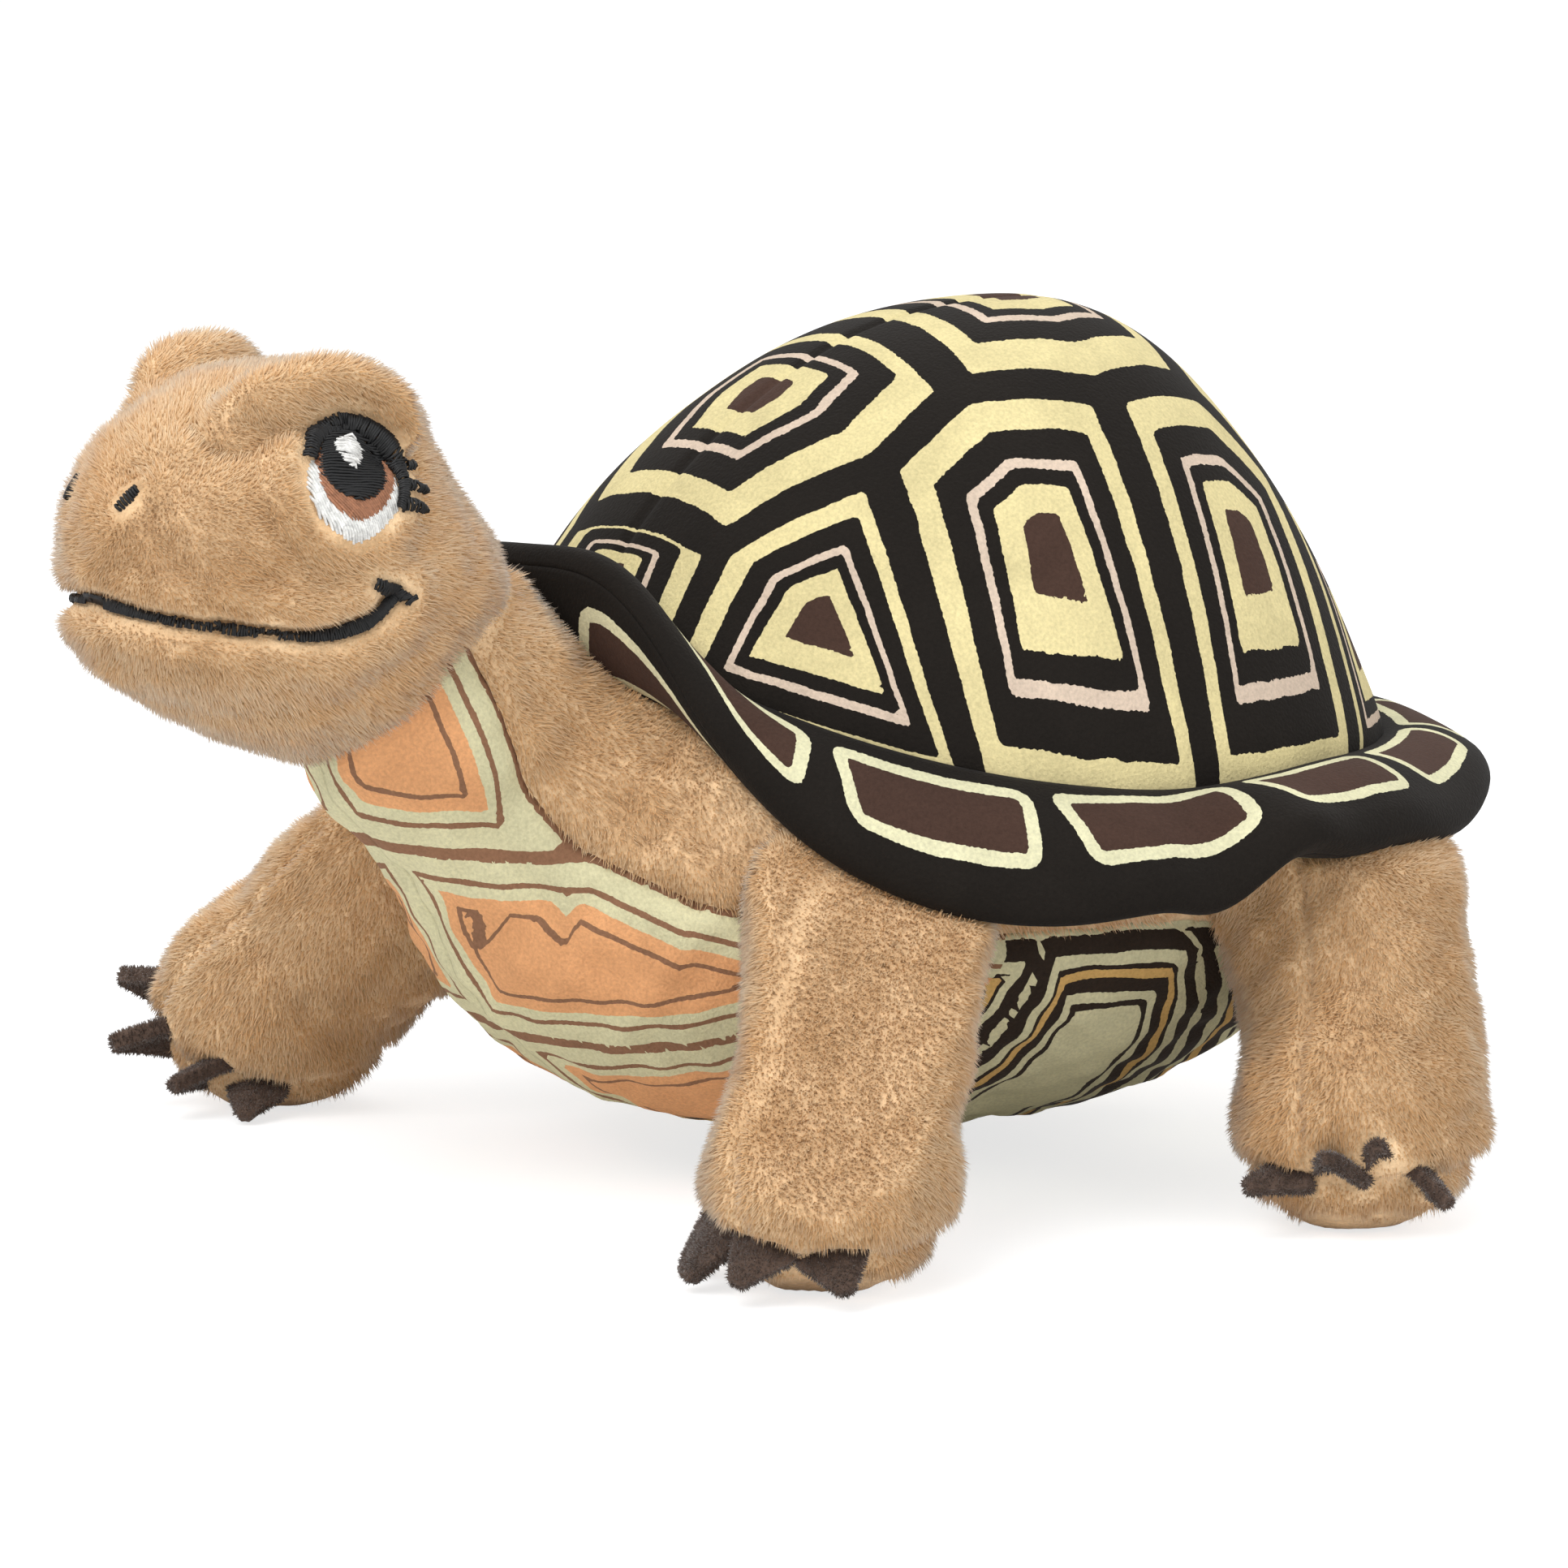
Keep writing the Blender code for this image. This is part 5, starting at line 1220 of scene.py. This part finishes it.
def satin_band(outer, inner, pitch):
    """Stitch lines in mm between two edges of a band."""
    first, second = curve_through(outer, 12), curve_through(inner, 12)
    length = max(np.linalg.norm(np.diff(edge, axis=0), axis=1).sum() for edge in (first, second))
    count = int(length / pitch)
    lines = []
    for i, place in enumerate(np.linspace(0.0, len(first) - 1.0, count)):
        start, end = [np.array([np.interp(place, range(len(edge)), values) for values in edge.T])
                      for edge in (first, second)]
        over = 0.06 * sin(i * 2.4)
        lines.append([start + (end - start) * share for share in (-over, 0.25, 0.5, 0.75, 1.0 + over)])
    return lines


def stitch_run(line, widths, pitch, sideways):
    """Stitch lines across a path, as wide as the path is at each place."""
    path = curve_through(line, 10)
    wide = np.interp(np.linspace(0.0, 1.0, len(path)), np.linspace(0.0, 1.0, len(widths)), widths)
    ahead = np.gradient(path, axis=0)
    outer, inner = [], []
    for spot, step, width in zip(path, ahead, wide):
        side = sideways(spot, step)
        outer.append(spot + side * width / 2.0)
        inner.append(spot - side * width / 2.0)
    return satin_band(outer, inner, pitch)


def flat_side(_, step):
    """The left of a step on the flat pattern."""
    return np.array([-step[1], step[0]]) / max(np.linalg.norm(step), 1e-9)


class Embroidery:
    """Collects the stitch lines of one thread colour, laid on the face."""

    def __init__(self, face):
        self.face = face
        self.points = []
        self.edges = []

    def keep(self, stitch):
        first = len(self.points)
        self.edges += [(first + i, first + i + 1) for i in range(len(stitch) - 1)]
        self.points += stitch

    def lay(self, lines, place, outwards, lift, crown=0.00022):
        """Lay flat stitch lines on the face, raised in the middle and sunk at both ends."""
        for line in lines:
            stitch = []
            for i, spot in enumerate(line):
                rise = crown * sin(pi * i / (len(line) - 1.0)) - 0.0005 * (i in (0, len(line) - 1))
                above = place(spot) + outwards * 0.03
                hit, normal = self.face.ray_cast(above, -outwards)[:2]
                if hit:
                    stitch.append(hit + normal * (lift + rise))
            self.keep(stitch)

    def sewn(self, name, material):
        lines = new_object(name + "_lines", self.points, [], self.edges)
        made = made_by(THREAD_TREE, lines, name, {"Material": material})
        discard(lines)
        return smooth(made)


def face_embroidery(face):
    """The eye, lid, lashes and nostril of the left side of the face, by thread."""
    threads = {name: Embroidery(face) for name in STANDS_FOR}
    lid = satin_band(EYE_LID_OUTER, EYE_LID_INNER, STITCH_PITCH)
    layers = [("white", satin_fill(EYE_WHITE, 78.0, STITCH_PITCH), 0.0004),
              ("brown", satin_fill(EYE_IRIS, 62.0, STITCH_PITCH), 0.0007),
              ("black", satin_fill(EYE_PUPIL, 8.0, STITCH_PITCH), 0.0012), ("black", lid, 0.0014)]
    layers += [("black", stitch_run(lash, LASH_WIDTHS, STITCH_PITCH, flat_side), 0.0012) for lash in LASHES]
    layers += [("glint", satin_fill(EYE_GLINT, 25.0, STITCH_PITCH), 0.0018)]
    for name, lines, lift in layers:
        threads[name].lay(lines, eye_spot, EYE_OUT, lift)
    nostril = stitch_run(NOSTRIL_LINE, NOSTRIL_WIDTHS, STITCH_PITCH, flat_side)
    threads["black"].lay(nostril, nose_spot, NOSE_OUT, 0.0004)
    return threads


def mouth_embroidery(face):
    """The mouth line from corner to corner, with a bar across each corner."""
    def sideways(spot, step):
        normal = face.find_nearest(Vector(spot))[1]
        return np.array(Vector(step).cross(normal).normalized()) * 0.001

    threads = Embroidery(face)
    runs = [(mouth_line(3), MOUTH_WIDTHS)]
    runs += [(np.array(MOUTH_BAR) * np.array([side, 1.0, 1.0]), MOUTH_BAR_WIDTHS) for side in SIDES.values()]
    for line, widths in runs:
        for spots in stitch_run(line, widths, STITCH_PITCH * 0.001, sideways):
            stitch = []
            for i, spot in enumerate(spots):
                hit, normal = face.find_nearest(Vector(spot))[:2]
                stitch.append(hit + normal * (0.0006 + 0.0004 * sin(pi * i / (len(spots) - 1.0))))
            threads.keep(stitch)
    return threads


# Claws
CLAW_ROOT_REACH = 0.017
CLAW_ROOT_DEPTH = 0.0012


def claw_blank():
    """One thick felt triangle with a blunt tip, bent a little, pointing along -Y with its base on X."""
    rows, columns = 9, 9
    points = []
    for row in range(rows):
        along = row / (rows - 1.0)
        wide = 1.02 - 0.76 * max(0.0, along / 0.82 - 0.22)
        for column in range(columns):
            across = column / (columns - 1.0) * 2.0 - 1.0
            fold = (1.0 - abs(across) ** 1.6) * (0.16 - 0.06 * along)
            points.append((across * 0.5 * wide, -along, fold * wide + 0.08 - 0.10 * along ** 2))
    sheet = new_object("claw_blank", points, [face[::-1] for face in grid_faces(rows, columns, False)])
    if sum(face.normal.z for face in sheet.data.polygons) < 0.0:
        sheet.data.flip_normals()
    reshaped(sheet, "SOLIDIFY", thickness=0.22, offset=-1.0)
    return smooth(reshaped(sheet, "BEVEL", width=0.045, segments=2, limit_method="ANGLE"))


def claw_strip(name, form, leg, blank):
    """The four claws of a foot, with their roots in the sole's seam."""
    skin_tree = face_tree(form)
    foot, toe = Vector(leg["foot"]), radians(leg["toe"])
    beside = Vector((cos(toe), sin(toe), 0.0))
    spots, turns, sizes = [], [], []
    for angle, heading, droop, roll, width, length in leg["claws"]:
        out = Vector((sin(radians(angle)), -cos(radians(angle)), 0.0))
        height = leg["seam"] + np.tan(radians(leg["climb"])) * CLAW_ROOT_REACH * out.dot(beside)
        start = Vector((foot.x, foot.y, height))
        root = skin_tree.ray_cast(start + out * 0.05, -out)[0]
        spots.append(root - out * CLAW_ROOT_DEPTH)
        turns.append((radians(droop), radians(roll), radians(heading)))
        sizes.append((width, length, length))
    cloud = new_object(name + "_spots", spots, [])
    set_attribute(cloud, "turn", turns, "FLOAT_VECTOR")
    set_attribute(cloud, "size", sizes, "FLOAT_VECTOR")
    made = made_by(CLAW_TREE, cloud, name, {"Claw": blank, "Material": felt})
    discard(cloud)
    points = points_of(made)
    points[:, 2] = np.maximum(points[:, 2], FLOOR_CLEARANCE)
    place_points(made, points)
    return made


# Finishing calls
def dressed(piece, material):
    piece.data.materials.clear()
    piece.data.materials.append(material)
    smooth(piece)
    return piece


def with_pile(skin, name, mask, lay, seed, density=1.0, length=1.0, material=None):
    """Fibres over a skin, thinned by a mask and laid along a flow."""
    base = copied(skin, name + "_base")
    normals = normals_of(base)
    flow = np.broadcast_to(np.asarray(lay, float), normals.shape)
    flow = flow - normals * (flow * normals).sum(1)[:, None]
    set_attribute(base, "pile", mask)
    set_attribute(base, "lay", flow, "FLOAT_VECTOR")
    fibres = made_by(PILE_TREE, base, name, {
        "Material": material or pile, "Seed": seed, "Density": PILE_DENSITY * density,
        "Length": PILE_LENGTH * length})
    discard(base)
    for label in ("pile", "lay"):
        stray = fibres.data.attributes.get(label)
        if stray:
            fibres.data.attributes.remove(stray)
    return smooth(fibres)


PILE_TREE = pile_tree()
THREAD_TREE = thread_tree()
CLAW_TREE = claw_tree()
skin = skin_material()
pile = pile_material()
shell_fabric = print_material("printed shell cloth", shell_colours)
rim_fabric = print_material("printed flange cloth", rim_colours)
belly_fabric = print_material("printed belly cloth", belly_colours, 0.14)
felt = felt_material()
black_thread = thread_material("black thread", THREAD_BLACK)
brown_thread = thread_material("brown thread", THREAD_BROWN)
white_thread = thread_material("white thread", THREAD_WHITE)


# Shell
dome, dome_angle, dome_climb = dome_cloth()
dome_print(dome, dome_angle, dome_climb)
for side, sign in SIDES.items():
    half = parted(dome, "shell_dome_" + side, points_of(dome)[:, 0] * sign, 1.0)
    dressed(thick(half), shell_fabric)
    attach(half, "root")
    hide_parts("dome_panel_" + side, *(["dome_stuffing"] if side == "left" else []))
discard(dome)

upper, upper_angle, upper_share, upper_face = rim_cloth("rim_upper", 1.0)
lower, lower_angle, lower_share, lower_face = rim_cloth("rim_lower", -1.0)
rim_blocks(upper, upper_angle, upper_share, upper_face)
rim_blocks(lower, lower_angle, lower_share, lower_face)
shell_tree = face_tree(lower, upper)
for piece, nodes in ((upper, ("rim_top", "rim_padding")), (lower, ("rim_bottom", "shell_base"))):
    dressed(thick(piece), rim_fabric)
    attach(piece, "root")
    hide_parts(*nodes)

# Body and neck
torso = build_torso()
torso_points, torso_normals = points_of(torso), normals_of(torso)
where = seam_distance(torso_points)
groove = TORSO_SEAM_DEPTH * bump(where, 0.0013) - 0.0005 * bump(np.abs(where) - 0.0040, 0.0030)
groove += BELLY_SEAM_DEPTH * bump(torso_points[:, 0], 0.0012) * (where < 0.0)
place_points(torso, roughened(torso_points - torso_normals * groove[:, None], torso_normals, TORSO_UNEVEN))
torso_seen = tucked(torso, shell_tree)
set_attribute(torso, "seen", torso_seen)
belly_print_on(torso, where)
cover = parted(torso, "torso_plush", where, 1.0)
underside = parted(torso, "belly_form", where, -1.0)
cover_points = points_of(cover)
cover_mask = rows_of(cover.data.attributes["seen"].data, "value", 1)[:, 0]
cover_mask = cover_mask * (head_inside(cover_points) > 0.0005)
for (place, side), leg in LEGS.items():
    near = cover_points * np.array([SIDES[side], 1.0, 1.0])
    cover_mask = cover_mask * (leg_field(leg)(near) > 0.0)
dome_reach = np.hypot(cover_points[:, 0] / DOME_HALF_WIDTH,
                      (cover_points[:, 1] - DOME_CENTRE_Y) / DOME_HALF_LENGTH)
cover_mask = cover_mask * np.where(dome_reach < 0.93, cover_points[:, 2] < 0.040, 1.0)
body_pile = with_pile(cover, "torso_pile", cover_mask, (0.0, 0.5, -0.85), 11, 0.8)
dressed(thick(cover), skin)
for piece in (cover, body_pile):
    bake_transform(piece)
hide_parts("torso_cover", "torso_stuffing")
for side, sign in SIDES.items():
    panel = parted(underside, "belly_print_" + side, points_of(underside)[:, 0] * sign, 1.0)
    dressed(thick(panel), belly_fabric)
    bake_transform(panel)
    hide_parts("belly_panel_" + side)
discard(torso, underside)

# Head
head = build_head()
head_points = points_of(head)
head_faces = face_tree(head)
sewing = {}
for side, sign in SIDES.items():
    for thread_name, threads in face_embroidery(head_faces).items():
        threads.points = [Vector((point.x * sign, point.y, point.z)) for point in threads.points]
        sewing[(side, thread_name)] = threads
mouth_threads = mouth_embroidery(head_faces)
laid = [point for threads in list(sewing.values()) + [mouth_threads] for point in threads.points]
thread_gap = gap_to(head_points, laid)
head_mask = smooth_step(thread_gap, 0.0009, 0.0022) * (torso_field(head_points) > -0.0005)
for side, sign in SIDES.items():
    half_mask = head_mask * (head_points[:, 0] * sign >= 0.0)
    fibres = with_pile(head, "head_pile_" + side, half_mask, (0.0, 0.9, -0.35), 21 + int(sign))
    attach(fibres, "head")
dressed(head, skin)
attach(head, "head")
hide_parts("head_cover", "head_stuffing", "chin_panel", "brow_left", "brow_right")

THREADS = {"white": (white_thread, "white_thread"), "brown": (brown_thread, "brown_thread"),
           "black": (black_thread, "black_thread"), "glint": (white_thread, "white_thread")}
for (side, thread_name), threads in sewing.items():
    material, slot = THREADS[thread_name]
    piece = threads.sewn(f"eye_{thread_name}_{side}", material)
    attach(piece, "head")
    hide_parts(*[f"{node}_{side}" for node in STANDS_FOR[thread_name]])
mouth = mouth_threads.sewn("mouth_threads", black_thread)
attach(mouth, "head")
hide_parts("mouth_stitch")

# Legs and claws
blank = claw_blank()
for seed, ((place, side), leg) in enumerate(LEGS.items()):
    form, parting = build_leg(f"leg_plush_{place}_{side}", leg)
    claws = claw_strip(f"claws_felt_{place}_{side}", form, leg, blank)
    form_points = points_of(form)
    from_claws = gap_to(form_points, points_of(claws))
    mask = tucked(form, shell_tree)
    form_points = points_of(form)
    mask = mask * (torso_field(form_points) > -0.0003) * (normals_of(form)[:, 2] > -0.75)
    mask = mask * smooth_step(from_claws, 0.0006, 0.0020) * (1.0 - 0.85 * parting)
    mask = mask * smooth_step(form_points[:, 2], 0.0012, 0.0034)
    fibres = with_pile(form, f"leg_pile_{place}_{side}", mask, (0.0, 0.0, -1.0), 31 + seed)
    fuzz_mask = (points_of(claws)[:, 2] > 0.0014) * 1.0
    fuzz = with_pile(claws, f"claws_fuzz_{place}_{side}", fuzz_mask, (0.0, 0.0, 0.0), 51 + seed,
                     FUZZ_DENSITY, FUZZ_LENGTH, felt)
    body = f"leg_{place}_{side}"
    pivot, down = Vector(leg["pivot"]), Vector(leg["foot"]) - Vector(leg["pivot"])
    start = pivot + Vector((0.0, 0.0, 0.010))
    stop = pivot + down.normalized() * 0.010
    if side == "right":
        for piece in (form, fibres, claws, fuzz):
            mirror_over(piece)
        start.x, stop.x = -start.x, -stop.x
    dressed(form, skin)
    for piece in (form, fibres):
        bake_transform(piece)
    for piece in (claws, fuzz):
        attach(piece, body)
    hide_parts(f"leg_cover_{place}_{side}", f"sole_{place}_{side}", f"leg_stuffing_{place}_{side}")
    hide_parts(f"claws_{place}_{side}")
discard(blank)

# Tail
TAIL_SPINE = ((0.0, 0.0900, 0.0440), (0.0, 0.1010, 0.0400), (0.0, 0.1100, 0.0350))
TAIL_RADII = (0.0085, 0.0072, 0.0042)
TAIL_FILLET = 0.003


def tail_field(points):
    return limb(points, TAIL_SPINE, TAIL_RADII, TAIL_FILLET)


tail = grown("tail_plush", tail_field, balls_through(TAIL_SPINE, TAIL_RADII, (5, 5)), TAIL_CELL)
tail_mask = (torso_field(points_of(tail)) > 0.0) * 1.0
tail_fibres = with_pile(tail, "tail_pile", tail_mask, (0.0, 0.7, -0.5), 41, 0.9)
dressed(tail, skin)
for piece in (tail, tail_fibres):
    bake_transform(piece)
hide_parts("tail_cover", "tail_stuffing")


# Light, floor and camera
CAMERA_AZIMUTH = 57.0
CAMERA_ELEVATION = 9.0
CAMERA_DISTANCE = 1.1
CAMERA_TARGET = Vector((0.024, -0.011, 0.062))
CAMERA_LENS = 170.1


def aimed(thing, spot, target):
    thing.location = spot
    thing.rotation_euler = (Vector(target) - Vector(spot)).to_track_quat("-Z", "Y").to_euler()


def spot_at(azimuth, elevation, distance, target):
    turn, rise = radians(azimuth), radians(elevation)
    back = Vector((sin(turn) * cos(rise), -cos(turn) * cos(rise), sin(rise)))
    return Vector(target) + back * distance


def soft_light(name, azimuth, elevation, distance, size, power, colour=(1.0, 1.0, 1.0)):
    data = bpy.data.lights.new(name, "AREA")
    data.shape = "DISK"
    data.size = size
    data.energy = power
    data.color = colour
    aimed(linked(name, data), spot_at(azimuth, elevation, distance, CAMERA_TARGET), CAMERA_TARGET)


soft_light("key", 20.0, 48.0, 1.6, 1.1, 15.0)
soft_light("fill", 110.0, 25.0, 1.8, 1.4, 7.0)
soft_light("back", 230.0, 50.0, 1.6, 1.0, 7.0)
soft_light("top", 57.0, 78.0, 1.5, 1.0, 4.5, (0.86, 0.93, 1.0))


def seen_directly(tree):
    """1 on rays that show the backdrop itself, straight or by a reflection, else 0."""
    path = add(tree, "ShaderNodeLightPath").outputs
    shown = calc(tree, "MAXIMUM", path["Is Camera Ray"], path["Is Glossy Ray"])
    return calc(tree, "MAXIMUM", shown, path["Is Transmission Ray"])


STUDIO_STRENGTH = 0.55
BACKDROP_STRENGTH = 1.1
FLOOR_HALF = 4.0
FLOOR_GLOW = 0.72
FLOOR_PALE = (0.9, 0.9, 0.9)
FLOOR_SHADE = (0.45, 0.45, 0.45)

world = bpy.data.worlds.new("studio")
bpy.context.scene.world = world
world.use_nodes = True
sky = world.node_tree
backdrop = sky.nodes["Background"]
backdrop.inputs["Color"].default_value = (1.0, 1.0, 1.0, 1.0)
strength = add(sky, "ShaderNodeMapRange", {
    "Value": seen_directly(sky), "To Min": STUDIO_STRENGTH, "To Max": BACKDROP_STRENGTH})
sky.links.new(strength.outputs[0], backdrop.inputs["Strength"])

floor_corners = [(FLOOR_HALF * x, FLOOR_HALF * y, 0.0) for x, y in ((-1, -1), (1, -1), (1, 1), (-1, 1))]
floor = new_object("floor", floor_corners, [(0, 1, 2, 3)])
floor_material = bpy.data.materials.new("pale floor")
floor_material.use_nodes = True
floor_tree = floor_material.node_tree
floor_shader = floor_tree.nodes["Principled BSDF"]
floor_shader.inputs["Roughness"].default_value = 0.9
floor_shader.inputs["Emission Color"].default_value = (1.0, 1.0, 1.0, 1.0)
shown = seen_directly(floor_tree)
floor_glow = calc(floor_tree, "MULTIPLY", shown, FLOOR_GLOW)
floor_tree.links.new(floor_glow, floor_shader.inputs["Emission Strength"])
floor_colour = mixed_colour(floor_tree, shown, FLOOR_PALE, FLOOR_SHADE)
floor_tree.links.new(floor_colour, floor_shader.inputs["Base Color"])
floor.data.materials.append(floor_material)

camera_data = bpy.data.cameras.new("camera")
camera_data.lens = CAMERA_LENS
camera_data.sensor_width = 36.0
camera = linked("camera", camera_data)
aimed(camera, spot_at(CAMERA_AZIMUTH, CAMERA_ELEVATION, CAMERA_DISTANCE, CAMERA_TARGET), CAMERA_TARGET)
bpy.context.scene.camera = camera
bpy.context.scene.view_settings.view_transform = "Standard"
